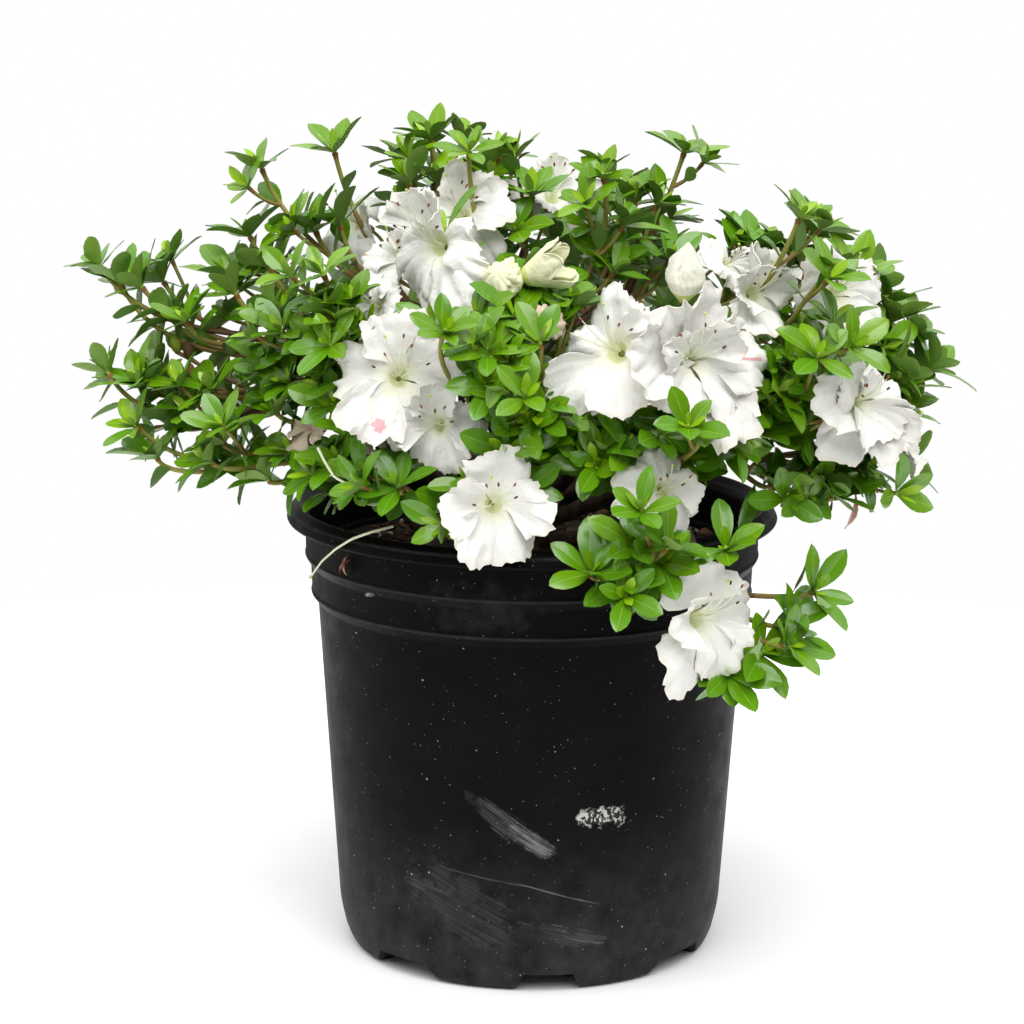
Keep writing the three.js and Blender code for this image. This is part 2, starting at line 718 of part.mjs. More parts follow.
// A flower: five wide lobes round a funnel that narrows to a tube.
function bloomGeometry(centre, direction, radius) {
  const side = squareTo(direction);
  const other = new THREE.Vector3().crossVectors(direction, side);
  const corners = [
    along(centre, direction, -bloom.throatDepth * radius),
    along(centre, direction, -bloom.tubeDepth * radius),
  ];
  const rim = 3 * bloom.lobes;
  for (let i = 0; i < rim; i += 1) {
    const angle = (2 * Math.PI * i) / rim + Math.PI / 2;
    const inNotch = i % 3 === 0;
    const reach = radius * (inNotch ? bloom.notch : 1);
    const corner = along(centre, side, reach * Math.cos(angle));
    corner.addScaledVector(other, reach * Math.sin(angle));
    corners.push(corner.addScaledVector(direction, inNotch ? 0 : -bloom.reflex * radius));
  }
  const faces = [];
  for (let i = 0; i < rim; i += 1) {
    const [a, b] = [2 + i, 2 + ((i + 1) % rim)];
    faces.push([0, a, b], [1, b, a]);
  }
  return { corners, geometry: geometryFrom(corners, faces) };
}

function meets(solid, other) {
  const [a, b] = [solid.boundingBox(), other.boundingBox()];
  const apart = [0, 1, 2].some((k) => a.min[k] > b.max[k] || a.max[k] < b.min[k]);
  return !apart && !other.intersect(solid).isEmpty();
}

function makeMass(name, stemLimb, limbs, seed) {
  const random = seededRandom(seed);
  const inSpace = makeSpace(name);
  const { out } = massFrame(masses[name]);
  const obstacles = limbs.filter((limb) => limb.owner !== name).map((limb) => limb.grown);
  const clearOf = (solid, others) => !others.some((other) => meets(solid, other));
  const solids = [];

  for (const [bearing, reach, height, faceBearing, tilt, radius] of masses[name].blooms ?? []) {
    const direction = facing(faceBearing, tilt);
    const centre = at(bearing, reach, height);
    const { corners, geometry } = bloomGeometry(centre, direction, radius);
    const flower = solidFrom(geometry);
    const base = along(centre, direction, -0.6 * radius);
    const root = pointOn(stemLimb.points, 0.9);
    const control = along(base, direction, -0.5 * root.distanceTo(base));
    const points = curvePoints(root, control, base, stalk.sections);
    const radii = taper(stalk.rootRadius, stalk.tipRadius, stalk.sections);
    const pedicel = solidFrom(limbGeometry(points, radii, stalk.sides));
    if (inSpace(corners) && clearOf(flower, obstacles) && clearOf(pedicel, obstacles)) {
      solids.push(flower, pedicel);
    }
  }

  const tips = shootTips(name, random);
  tips.forEach((tip, order) => {
    const { points, heading } = shootPath(stemLimb, (order + 0.9) / tips.length, tip, out, random);
    const side = squareTo(heading);
    const other = new THREE.Vector3().crossVectors(heading, side);
    const grow = (path, outlines) => solidFrom(shootGeometry(path, side, other, heading, outlines));
    const bare = Array(shoot.leaves).fill(null);
    const end = [mix(points.at(-2), tip, 0.5), tip];
    const others = [...obstacles, stemLimb.solid, ...solids];
    const outlines = whorl(heading, side, other, random).map(({ direction, length }, i) => {
      const build = (share) => leafCorners(tip, heading, direction, share * length);
      const hasRoom = (outline) => inSpace(outline) && clearOf(grow(end, bare.with(i, outline)), others);
      return leaf.shorterTries.map(build).find(hasRoom) ?? null;
    });
    const hasLeaves = outlines.filter((outline) => outline).length >= shoot.fewestLeaves;
    if (hasLeaves && inSpace([tip]) && clearOf(grow(points, bare), obstacles)) {
      solids.push(grow(points, outlines));
    }
  });
  return mainBody(wasm.Manifold.union([stemLimb.solid, ...solids])).simplify(finest);
}

// ---------------------------------------------------------------- the whole plant

const shrub = new THREE.Group();
shrub.position.set(potAxis.x, potAxis.y, 0);

shrub.add(meshFrom("pot", makePot(), potPlastic));
shrub.add(meshFrom("potting_mix", makePottingMix(), peatMix));

const trunkLimb = makeTrunk();
shrub.add(meshFrom("trunk", trunkLimb.solid, oldBark));

const limbs = [trunkLimb];

// A new limb is cut back where it would meet an earlier one, and keeps the clearance to it.
function addLimb(limb) {
  for (const earlier of limbs) {
    if (meets(limb.solid, earlier.grown)) limb.solid = limb.solid.subtract(earlier.grown);
  }
  limb.solid = mainBody(limb.solid).simplify(finest);
  limbs.push(limb);
}

for (const [name, layout] of Object.entries(boughs)) {
  addLimb(makeBough(name, layout));
}
addLimb(makeHangingBough(limbs.find((limb) => limb.owner === hangingBough.from)));
for (const limb of limbs.slice(1)) {
  shrub.add(meshFrom(limb.owner, limb.solid, oldBark));
}

for (const carrier of [...limbs]) {
  const names = Object.keys(masses).filter((name) => masses[name].on === carrier.owner);
  if (names.length === 0) continue;
  const roots = stemRoots(carrier, names);
  names.forEach((name, k) => addLimb(makeStem(name, roots[k], carrier.heading)));
}

const keptOut = [...limbs, { owner: "pot", grown: potSpace() }];

Object.keys(masses).forEach((name, k) => {
  const stemLimb = limbs.find((limb) => limb.owner === name);
  shrub.add(meshFrom(name, makeMass(name, stemLimb, keptOut, 101 + k), foliage));
});

export default shrub;
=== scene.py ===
# Dresses the flowering azalea and its nursery pot. Lengths here are millimetres, measured from the
# pot's axis on the ground; bearings are degrees round it, 0 at the front and 90 at the right.

import math

import bpy
import numpy as np
from mathutils import Matrix, Vector, noise


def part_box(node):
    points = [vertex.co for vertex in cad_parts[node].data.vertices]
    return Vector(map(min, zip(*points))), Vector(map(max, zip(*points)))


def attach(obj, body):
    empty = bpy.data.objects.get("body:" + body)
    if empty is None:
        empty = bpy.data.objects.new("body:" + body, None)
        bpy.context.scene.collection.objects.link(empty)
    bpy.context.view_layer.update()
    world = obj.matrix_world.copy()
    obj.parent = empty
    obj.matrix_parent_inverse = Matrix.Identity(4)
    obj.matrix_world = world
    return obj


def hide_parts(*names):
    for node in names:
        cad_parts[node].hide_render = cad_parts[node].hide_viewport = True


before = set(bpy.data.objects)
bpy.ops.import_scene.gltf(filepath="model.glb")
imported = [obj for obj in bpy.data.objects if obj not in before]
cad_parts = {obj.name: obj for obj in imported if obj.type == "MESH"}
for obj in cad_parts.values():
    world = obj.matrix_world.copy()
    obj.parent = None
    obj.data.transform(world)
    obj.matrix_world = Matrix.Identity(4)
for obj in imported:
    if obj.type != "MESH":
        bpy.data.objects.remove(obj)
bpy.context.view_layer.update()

mm = 0.001
potLow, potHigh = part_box("pot")
potMiddle = np.array([(potLow.x + potHigh.x) / 2, (potLow.y + potHigh.y) / 2, potLow.z])
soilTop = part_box("potting_mix")[1].z / mm
rimTop = potHigh.z / mm
rimReach = (potHigh.x - potLow.x) / 2 / mm

up = np.array([0.0, 0.0, 1.0])
right = np.array([1.0, 0.0, 0.0])
goldenShare = (math.sqrt(5) - 1) / 2


# small tools: places, directions and chance

def at(bearing, reach, height):
    turn = math.radians(bearing)
    return np.array([reach * math.sin(turn), -reach * math.cos(turn), height])


def facing(bearing, tilt):
    rise = math.radians(tilt)
    return at(bearing, math.cos(rise), math.sin(rise))


def unit(vector):
    return vector / np.linalg.norm(vector)


def distance(a, b):
    return float(np.linalg.norm(a - b))


def squareTo(direction):
    return unit(np.cross(up if abs(direction[2]) < 0.9 else right, direction))


def quadratic(start, control, end, share):
    a = start + (control - start) * share
    b = control + (end - control) * share
    return a + (b - a) * share


def curvePoints(start, control, end, count):
    return np.array([quadratic(start, control, end, i / (count - 1)) for i in range(count)])


def smoothStep(low, high, x):
    t = np.clip((x - low) / (high - low), 0, 1)
    return t * t * (3 - 2 * t)


def seededRandom(seed):
    state = seed

    def draw():
        nonlocal state
        state = (state + 0x6D2B79F5) & 0xFFFFFFFF
        word = ((state ^ (state >> 15)) * (state | 1)) & 0xFFFFFFFF
        word ^= (word + (word ^ (word >> 7)) * (word | 61)) & 0xFFFFFFFF
        return (word ^ (word >> 14)) / 4294967296

    return draw


# small tools: meshes

class Pile:
    # points and faces that are joined into one piece, each face with its finish

    def __init__(self):
        self.points, self.faces, self.finishes, self.count = [], [], [], 0

    def add(self, points, faces, finish=0):
        points = np.asarray(points, float)
        faces = np.asarray(faces, int)
        self.points.append(points)
        self.faces.append(faces + self.count)
        self.finishes.append(np.broadcast_to(np.asarray(finish, int), (len(faces),)))
        self.count += len(points)

    def triangles(self):
        return sum(len(f) * (f.shape[1] - 2) for f in self.faces)


def makePiece(name, pile, finishes, replaced=(), sharpest=50, body="root"):
    points = np.concatenate(pile.points) * mm + potMiddle
    faces = [face for group in pile.faces for face in group.tolist()]
    mesh = bpy.data.meshes.new(name)
    mesh.from_pydata(points.tolist(), [], faces)
    for finish in finishes:
        mesh.materials.append(finish)
    mesh.polygons.foreach_set("material_index", np.concatenate(pile.finishes).astype(np.int32))
    mesh.polygons.foreach_set("use_smooth", np.ones(len(faces), bool))
    mesh.validate()
    mesh.update()
    mesh.set_sharp_from_angle(angle=math.radians(sharpest))
    piece = bpy.data.objects.new(name, mesh)
    bpy.context.scene.collection.objects.link(piece)
    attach(piece, body)
    if replaced:
        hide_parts(*replaced)
    print("made", name, "with", pile.triangles(), "triangles")
    return piece


def gridFaces(rows, columns, closed=False):
    # quads of a grid of points stored row by row; a closed grid joins its last column to its first
    wide = columns if closed else columns - 1
    row, column = np.meshgrid(np.arange(rows - 1), np.arange(wide), indexing="ij")
    after = (column + 1) % columns
    quads = [row * columns + column, row * columns + after,
             (row + 1) * columns + after, (row + 1) * columns + column]
    return np.stack(quads, axis=-1).reshape(-1, 4)


def tubeRings(points, radii, sides, swell=None):
    # the rings of a tube along the points, carried along without twist
    rings = np.zeros((len(points), sides, 3))
    angles = np.arange(sides) * 2 * math.pi / sides
    side = None
    for i, point in enumerate(points):
        heading = unit(points[min(i + 1, len(points) - 1)] - points[max(i - 1, 0)])
        if side is None:
            side = squareTo(heading)
        side = unit(side - heading * np.dot(side, heading))
        other = np.cross(heading, side)
        radius = radii[i] * (swell(angles, i) if swell else np.ones(sides))
        rings[i] = (point + np.outer(radius * np.cos(angles), side)
                    + np.outer(radius * np.sin(angles), other))
    return rings


def addTube(pile, points, radii, sides, finish=0, swell=None):
    # finish is one number, or one for each stretch between rings; both ends are closed
    rings = tubeRings(points, radii, sides, swell)
    count = len(points)
    stretches = np.broadcast_to(np.asarray(finish, int), (count - 1,))
    ends = np.array([points[0], points[-1]])
    pile.add(np.concatenate([rings.reshape(-1, 3), ends]), gridFaces(count, sides, True),
             np.repeat(stretches, sides))
    base = pile.count - 2 - count * sides
    around = np.arange(sides)
    after = (around + 1) % sides
    first = np.stack([np.full(sides, count * sides), after, around], axis=-1)
    lastRing = (count - 1) * sides
    last = np.stack([np.full(sides, count * sides + 1), lastRing + around, lastRing + after], axis=-1)
    for cap, shade in ((first, stretches[0]), (last, stretches[-1])):
        pile.faces.append(cap + base)
        pile.finishes.append(np.full(sides, shade))


def addBall(pile, centre, axis, halfLength, radius, finish, sides=6, rings=4, lumps=0, draw=None):
    # a closed egg along the axis
    side = squareTo(axis)
    other = np.cross(axis, side)
    points = [centre - axis * halfLength]
    for i in range(1, rings):
        turn = math.pi * i / rings
        for k in range(sides):
            angle = 2 * math.pi * k / sides
            reach = radius * math.sin(turn) * (1 + (lumps * (draw() - 0.5) if draw else 0))
            points.append(centre - axis * halfLength * math.cos(turn)
                          + reach * (side * math.cos(angle) + other * math.sin(angle)))
    points.append(centre + axis * halfLength)
    faces = []
    last = len(points) - 1
    for k in range(sides):
        after = (k + 1) % sides
        faces.append((0, 1 + after, 1 + k))
        faces.append((last, last - sides + k, last - sides + after))
        for i in range(rings - 2):
            a, b = 1 + i * sides + k, 1 + i * sides + after
            faces.append((a, b, b + sides))
            faces.append((a, b + sides, a + sides))
    pile.add(points, faces, finish)


# small tools: materials

def fromHex(text):
    parts = [int(text[i:i + 2], 16) / 255 for i in (0, 2, 4)]
    return [c / 12.92 if c <= 0.04045 else ((c + 0.055) / 1.055) ** 2.4 for c in parts] + [1]


class Finish:
    # a material with short calls for its nodes; a number or colour that is the same all over
    # goes straight on the shader's socket

    def __init__(self, name, colour, roughness, **sockets):
        self.material = bpy.data.materials.new(name)
        self.material.use_nodes = True
        self.tree = self.material.node_tree
        self.shader = self.tree.nodes["Principled BSDF"]
        self.shader.inputs["Base Color"].default_value = fromHex(colour)
        self.shader.inputs["Roughness"].default_value = roughness
        for socket, value in sockets.items():
            self.shader.inputs[socket].default_value = value
        self.place = None

    def node(self, kind, inputs=(), **settings):
        made = self.tree.nodes.new("ShaderNode" + kind)
        for key, value in settings.items():
            setattr(made, key, value)
        for key, value in dict(inputs).items():
            self.join(value, made.inputs[key])
        return made

    def join(self, value, socket):
        if isinstance(value, bpy.types.NodeSocket):
            self.tree.links.new(value, socket)
        else:
            socket.default_value = value

    def coordinates(self):
        if self.place is None:
            self.place = self.node("TexCoord").outputs["Object"]
        return self.place

    def stretched(self, scale):
        mapped = self.node("Mapping", {"Vector": self.coordinates(), "Scale": scale})
        return mapped.outputs["Vector"]

    def noise(self, scale, detail=3, roughness=0.5, place=None, distortion=0):
        made = self.node("TexNoise", {"Vector": place or self.coordinates(), "Scale": scale,
                                      "Detail": detail, "Roughness": roughness,
                                      "Distortion": distortion})
        return made.outputs["Fac"]

    def maths(self, operation, a, b=0.0, c=0.0):
        made = self.node("Math", {0: a, 1: b, 2: c}, operation=operation)
        return made.outputs[0]

    def between(self, value, low, high, fromLow=0.0, fromHigh=1.0):
        made = self.node("MapRange", {"Value": value, "From Min": fromLow, "From Max": fromHigh,
                                      "To Min": low, "To Max": high})
        return made.outputs["Result"]

    def blend(self, share, a, b):
        made = self.node("Mix", data_type="RGBA")
        for value, socket in ((share, made.inputs[0]), (a, made.inputs[6]), (b, made.inputs[7])):
            self.join(fromHex(value) if isinstance(value, str) else value, socket)
        return made.outputs[2]

    def paint(self, colour):
        self.join(colour, self.shader.inputs["Base Color"])

    def polish(self, value):
        self.join(value, self.shader.inputs["Roughness"])

    def relief(self, height, depth, strength=1.0):
        bump = self.node("Bump", {"Height": height, "Distance": depth, "Strength": strength})
        self.join(bump.outputs["Normal"], self.shader.inputs["Normal"])
        return self


# camera, floor and light

viewPoint = {
    "target": (-10.66, 0, 233.6),
    "distance": 1885,
    "elevation": 12.07,
    "roll": 0.349,
    "lens": 124.8,
    "sensor": 36,
}


def placeCamera():
    lift, roll = math.radians(viewPoint["elevation"]), math.radians(viewPoint["roll"])
    back = np.array([0, -math.cos(lift), math.sin(lift)])
    level, rise = right, np.cross(back, right)
    across = level * math.cos(roll) + rise * math.sin(roll)
    above = rise * math.cos(roll) - level * math.sin(roll)
    stand = (np.array(viewPoint["target"]) + back * viewPoint["distance"]) * mm + potMiddle
    camera = bpy.data.objects.new("camera", bpy.data.cameras.new("camera"))
    bpy.context.scene.collection.objects.link(camera)
    camera.data.lens = viewPoint["lens"]
    camera.data.sensor_width = viewPoint["sensor"]
    camera.data.clip_start = 0.05
    camera.data.clip_end = 100
    rows = [(across[i], above[i], back[i], stand[i]) for i in range(3)]
    camera.matrix_world = Matrix([*rows, (0, 0, 0, 1)])
    bpy.context.scene.camera = camera


studio = {
    "behind": 0.9,  # the room's brightness behind the plant, before it and overhead
    "before": 0.34,
    "overhead": 0.42,
    "floorReach": 0.85,
    "floorColour": "f6f6f6",
    "backdropReach": 40,
    "sun": {"from": (0.06, -0.7, 1.0), "strength": 2.9, "spread": 55},
    "panels": {
        # place and aim in metres from the pot's foot, size of the panel in metres, power in watts
        "leftWindow": {"place": (-1.7, -0.5, 0.7), "aim": (0, 0, 0.15), "size": (0.3, 1.2), "power": 4},
        "rightWindow": {"place": (1.7, 0.1, 0.7), "aim": (0, 0, 0.15), "size": (0.4, 1.2), "power": 2},
    },
}


def lightRoom():
    # the room's own light changes from front to back and up, and there is little from below
    world = bpy.data.worlds.new("studio")
    bpy.context.scene.world = world
    world.use_nodes = True
    nodes, links = world.node_tree.nodes, world.node_tree.links

    def ramp(value, low, high, least, most):
        made = nodes.new("ShaderNodeMapRange")
        made.interpolation_type = "SMOOTHSTEP"
        links.new(value, made.inputs["Value"])
        for socket, number in (("From Min", low), ("From Max", high), ("To Min", least), ("To Max", most)):
            made.inputs[socket].default_value = number
        return made.outputs["Result"]

    def both(operation, a, b):
        made = nodes.new("ShaderNodeMath")
        made.operation = operation
        links.new(a, made.inputs[0])
        links.new(b, made.inputs[1])
        return made.outputs[0]

    split = nodes.new("ShaderNodeSeparateXYZ")
    links.new(nodes.new("ShaderNodeTexCoord").outputs["Generated"], split.inputs[0])
    depth = ramp(split.outputs["Y"], -0.5, 0.7, studio["before"], studio["behind"])
    above = ramp(split.outputs["Z"], 0.25, 0.9, 0, studio["overhead"])
    level = ramp(split.outputs["Z"], -0.08, 0.02, 0.1, 1)
    links.new(both("MULTIPLY", both("ADD", depth, above), level), nodes["Background"].inputs["Strength"])
    nodes["Background"].inputs["Color"].default_value = (1, 1, 1, 1)


def lightStudio():
    scene = bpy.context.scene
    scene.view_settings.view_transform = "Standard"
    scene.view_settings.look = "None"
    scene.view_settings.exposure = 0
    lightRoom()
    for name, panel in studio["panels"].items():
        light = bpy.data.lights.new(name, "AREA")
        light.shape = "RECTANGLE"
        light.size, light.size_y = panel["size"]
        light.energy = panel["power"]
        aimLight(name, light, panel["place"], panel["aim"])
    sun = bpy.data.lights.new("softSun", "SUN")
    sun.energy = studio["sun"]["strength"]
    sun.angle = math.radians(studio["sun"]["spread"])
    aimLight("softSun", sun, studio["sun"]["from"], (0, 0, 0))


def aimLight(name, light, place, aim):
    holder = bpy.data.objects.new(name, light)
    bpy.context.scene.collection.objects.link(holder)
    holder.location = Vector(place) + Vector(potMiddle)
    holder.rotation_mode = "QUATERNION"
    holder.rotation_quaternion = (Vector(aim) - Vector(place)).to_track_quat("-Z", "Y")


def layFloor():
    paper = Finish("paleFloor", studio["floorColour"], 0.9)
    paper.relief(paper.noise(40, 2), 0.0002, 0.1)
    sides, reach = 96, studio["floorReach"]
    edge = [(reach * math.cos(2 * math.pi * k / sides), reach * math.sin(2 * math.pi * k / sides), 0)
            for k in range(sides)]
    stageMesh("floor", edge, [tuple(range(sides))], paper.material)


def hangBackdrop():
    # a white shell round everything that only the camera sees; the room's light passes it
    white = bpy.data.materials.new("whiteBackdrop")
    white.use_nodes = True
    nodes = white.node_tree.nodes
    nodes.remove(nodes["Principled BSDF"])
    glow = nodes.new("ShaderNodeEmission")
    glow.inputs["Strength"].default_value = 1.0
    white.node_tree.links.new(glow.outputs[0], nodes["Material Output"].inputs["Surface"])
    rings, sides, reach = 12, 24, studio["backdropReach"]
    points = [(reach * math.sin(math.pi * i / rings) * math.cos(2 * math.pi * k / sides),
               reach * math.sin(math.pi * i / rings) * math.sin(2 * math.pi * k / sides),
               reach * math.cos(math.pi * i / rings)) for i in range(rings + 1) for k in range(sides)]
    backdrop = stageMesh("backdrop", points, gridFaces(rings + 1, sides, True).tolist(), white)
    for kind in ("diffuse", "glossy", "transmission", "shadow", "volume_scatter"):
        setattr(backdrop, "visible_" + kind, False)


def stageMesh(name, points, faces, surface):
    mesh = bpy.data.meshes.new(name)
    mesh.from_pydata(points, [], faces)
    mesh.materials.append(surface)
    made = bpy.data.objects.new(name, mesh)
    made.location = Vector(potMiddle)
    bpy.context.scene.collection.objects.link(made)
    return made


placeCamera()
lightStudio()
layFloor()
hangBackdrop()
print("camera, light and floor are set")


# the pot: a blow-moulded can with two stacking rings, a rolled rim and slots round its foot

potShape = {
    "sides": 256,
    "footRadius": 91.4,
    "footInnerRadius": 70,
    "floorHeight": 10,
    "slotTurn": 5.5,
    "slotSides": [
        {"bearings": (0, 90, 180, 270), "top": 26, "bottom": 34},
        {"bearings": (48.4, 131.6, 228.4, 311.6), "top": 32, "bottom": 48},
    ],
    # radius, height and corner rounding, from the foot up the outside and down the inside
    "outside": [(91.4, 0, 0.6), (96, 2, 1.5), (99, 8, 3), (102.3, 22, 6), (113.6, 188, 0.6),
                (117.1, 192.2, 0.3), (117.4, 193.2, 0.4), (116.8, 194.6, 0.8), (117.3, 208, 0.5),
                (120.1, 212.2, 0.3), (120.5, 213.2, 0.4), (120, 214.8, 0.8), (120.2, 231, 1),
                (129.4, 231.6, 0.5), (130, 233, 0.5), (127.8, 237.6, 1.2), (123.4, 241, 1.6)],
    "inside": [(118, 234, 2), (117.8, 214, 3), (111.4, 187, 2), (99.6, 18, 3), (97, 12.4, 1)],
}


def roundedOutline(corners, steps=4):
    # each corner of an open outline is eased by its own radius
    eased = [np.array(corners[0][:2], float)]
    for before, corner, after in zip(corners, corners[1:], corners[2:]):
        here = np.array(corner[:2], float)
        back, ahead = np.array(before[:2]) - here, np.array(after[:2]) - here
        reach = min(corner[2], 0.45 * np.linalg.norm(back), 0.45 * np.linalg.norm(ahead))
        start, end = here + unit(back) * reach, here + unit(ahead) * reach
        eased.extend(quadratic(start, here, end, i / steps) for i in range(steps + 1))
    eased.append(np.array(corners[-1][:2], float))
    return eased


def withSteps(outline, longest):
    # long straight stretches get points between, so that the wall's faces stay well shaped
    filled = [outline[0]]
    for a, b in zip(outline, outline[1:]):
        count = max(1, math.ceil(np.linalg.norm(b - a) / longest))
        filled.extend(a + (b - a) * i / count for i in range(1, count + 1))
    return filled


def latheFaces(outline, sides, finish=0):
    # a closed body of revolution whose outline starts and ends on the axis
    pile = Pile()
    angles = np.arange(sides) * 2 * math.pi / sides
    body = np.array(outline[1:-1])
    rings = np.stack([np.outer(body[:, 0], np.cos(angles)), np.outer(body[:, 0], np.sin(angles)),
                      np.outer(body[:, 1], np.ones(sides))], axis=-1)
    pile.add(rings.reshape(-1, 3), gridFaces(len(body), sides, True), finish)
    around, after = np.arange(sides), (np.arange(sides) + 1) % sides
    poles = [[0, 0, outline[0][1]], [0, 0, outline[-1][1]]]
    pile.points.append(np.array(poles, float))
    low, high = pile.count, pile.count + 1
    last = (len(body) - 1) * sides
    pile.faces.append(np.stack([np.full(sides, low), after, around], axis=-1))
    pile.faces.append(np.stack([np.full(sides, high), last + around, last + after], axis=-1))
    pile.finishes += [np.full(sides, finish)] * 2
    pile.count += 2
    return pile


def makeSlotCutters():
    # wedges through the foot, wider at the ground
    pile = Pile()
    height, over = potShape["floorHeight"], 4
    for kind in potShape["slotSides"]:
        slope = (kind["bottom"] - kind["top"]) / 2 / height
        outline = [(-kind["top"] / 2, height), (-kind["bottom"] / 2 - slope * over, -over),
                   (kind["bottom"] / 2 + slope * over, -over), (kind["top"] / 2, height)]
        for bearing in kind["bearings"]:
            outward = at(bearing + potShape["slotTurn"], 1, 0)
            across = np.cross(up, outward)
            points = [outward * reach + across * x + up * z
                      for reach in (potShape["footInnerRadius"] - 12, potShape["footRadius"] + 22)
                      for x, z in outline]
            faces = [(0, 1, 5, 4), (1, 2, 6, 5), (2, 3, 7, 6), (3, 0, 4, 7), (3, 2, 1, 0), (4, 5, 6, 7)]
            pile.add(points, faces)
    mesh = bpy.data.meshes.new("slotCutters")
    mesh.from_pydata((np.concatenate(pile.points) * mm + potMiddle).tolist(), [],
                     np.concatenate(pile.faces).tolist())
    cutters = bpy.data.objects.new("slotCutters", mesh)
    bpy.context.scene.collection.objects.link(cutters)
    return cutters


# marks on the pot's wall: bearing and height of the middle, half length and half width in mm,
# slant from level in degrees, strength, streaks along and across for each metre, how ragged the
# edge is and how broken the inside
potMarks = [
    {"name": "wideScuff", "middle": (-6.5, 93), "half": (25, 6.5), "slant": -36, "strength": 0.3,
     "grain": (22, 1900), "ragged": 1.1, "broken": (0.42, 0.64), "colour": "8d8d90"},
    {"name": "scuffEnd", "middle": (0.5, 84), "half": (13, 5.5), "slant": -32, "strength": 0.3,
     "grain": (60, 1500), "ragged": 1.6, "broken": (0.4, 0.6), "colour": "a6a6a8"},
    {"name": "fanScratches", "middle": (-21, 47), "half": (33, 17), "slant": -27, "strength": 0.17,
     "grain": (14, 1300), "ragged": 1.7, "broken": (0.4, 0.66), "colour": "77787a"},
    {"name": "fanRim", "middle": (-31, 56), "half": (17, 4), "slant": -8, "strength": 0.2,
     "grain": (30, 900), "ragged": 2.0, "broken": (0.4, 0.62), "colour": "77787a"},
    {"name": "longScratch", "middle": (8, 55), "half": (24, 0.5), "slant": -17, "strength": 0.32,
     "grain": (40, 300), "ragged": 0.6, "broken": (0.3, 0.5), "colour": "8a8a8c"},
    {"name": "highScratch", "middle": (-12, 63), "half": (30, 0.45), "slant": -9, "strength": 0.2,
     "grain": (50, 300), "ragged": 0.6, "broken": (0.35, 0.5), "colour": "7a7a7c"},
    {"name": "footScuff", "middle": (10, 33), "half": (24, 5.5), "slant": -14, "strength": 0.34,
     "grain": (26, 1500), "ragged": 2.2, "broken": (0.46, 0.64), "colour": "7c7c7e"},
    {"name": "crust", "middle": (20.6, 95.5), "half": (13, 5), "slant": -4, "strength": 0.85,
     "grain": (520, 470), "ragged": 3.4, "broken": (0.48, 0.56), "colour": "c6c6c2"},
    {"name": "bandDust", "middle": (-13, 208), "half": (30, 15), "slant": 0, "strength": 0.09,
     "grain": (60, 90), "ragged": 2.0, "broken": (0.35, 0.65), "colour": "626262"},
    {"name": "ringFleck", "middle": (-45, 207.7), "half": (4, 1.1), "slant": 12, "strength": 0.6,
     "grain": (120, 200), "ragged": 1.0, "broken": (0.38, 0.6), "colour": "b9b9b6"},
]
# dust specks: how many cells for each metre, how large a speck is in its cell, how rare, its colour
dustSpecks = [(190, 0.09, 0.74, "c9c9c6"), (400, 0.13, 0.5, "8f8f8c")]
ringHighlights = {"heights": (192.9, 212.9, 237), "half": 1.1, "colour": "3c3c3d"}  # painted highlight: thin paler lines at the ring and rim steps, where light catches their edges


def potPlastic():
    black = Finish("blackPotPlastic", "070708", 0.42, **{"Specular IOR Level": 0.06})
    place = black.coordinates()
    split = black.node("SeparateXYZ", {0: place})
    x, y, z = (black.maths("MULTIPLY", split.outputs[i], 1 / mm) for i in range(3))
    bearing = black.maths("ARCTAN2", x, black.maths("MULTIPLY", y, -1))
    # base: nearly black, browner where it is worn and paler with dust towards the foot
    cloud = black.noise(14, 4, 0.6)
    colour = black.blend(black.between(cloud, 0, 1, 0.35, 0.7), "050506", "0e0d0d")
    wear = black.noise(220, 3, 0.6, black.stretched((1, 1, 0.25)))
    colour = black.blend(black.between(wear, 0, 0.1, 0.6, 0.9), colour, "2a2927")
    low = black.maths("MULTIPLY", black.between(z, 1, 0, 8, 95),
                      black.between(black.noise(55, 5, 0.7), 0.25, 1, 0.35, 0.7))
    colour = black.blend(black.maths("MULTIPLY", low, 0.6), colour, "444343")
    for scale, size, rare, pale in dustSpecks:
        cells = black.node("TexVoronoi", {"Vector": place, "Scale": scale, "Randomness": 1.0})
        pick = black.node("TexWhiteNoise", {"Vector": cells.outputs["Position"]})
        reach = black.between(pick.outputs["Value"], 0, size, rare, 1)
        spot = black.maths("LESS_THAN", cells.outputs["Distance"], reach)
        colour = black.blend(black.maths("MULTIPLY", spot, 0.7), colour, pale)
    total = 0.0
    uneven = black.noise(95, 3, 0.7)
    for mark in potMarks:
        share = markMask(black, mark, bearing, z, uneven)
        colour = black.blend(share, colour, mark["colour"])
        total = black.maths("ADD", share, total)
    # painted highlight along each ring and rim edge, broken up by the uneven noise
    for edge in ringHighlights["heights"]:
        off = black.maths("ABSOLUTE", black.maths("SUBTRACT", z, edge))
        highlight = black.maths("MULTIPLY", black.between(off, 1, 0, 0, ringHighlights["half"]), uneven)
        colour = black.blend(highlight, colour, ringHighlights["colour"])
    black.paint(colour)
    smooth = black.between(black.noise(60, 3, 0.6), 0.42, 0.56, 0.3, 0.7)
    black.polish(black.maths("ADD", smooth, black.maths("MULTIPLY", total, 0.35)))
    fine = black.maths("ADD", black.noise(900, 3, 0.6), black.maths("MULTIPLY", black.noise(45, 2), 2.0))
    lump = black.maths("ADD", fine, black.maths("MULTIPLY", total, 1.5))
    black.relief(lump, 0.00012, 0.35)
    return black.material


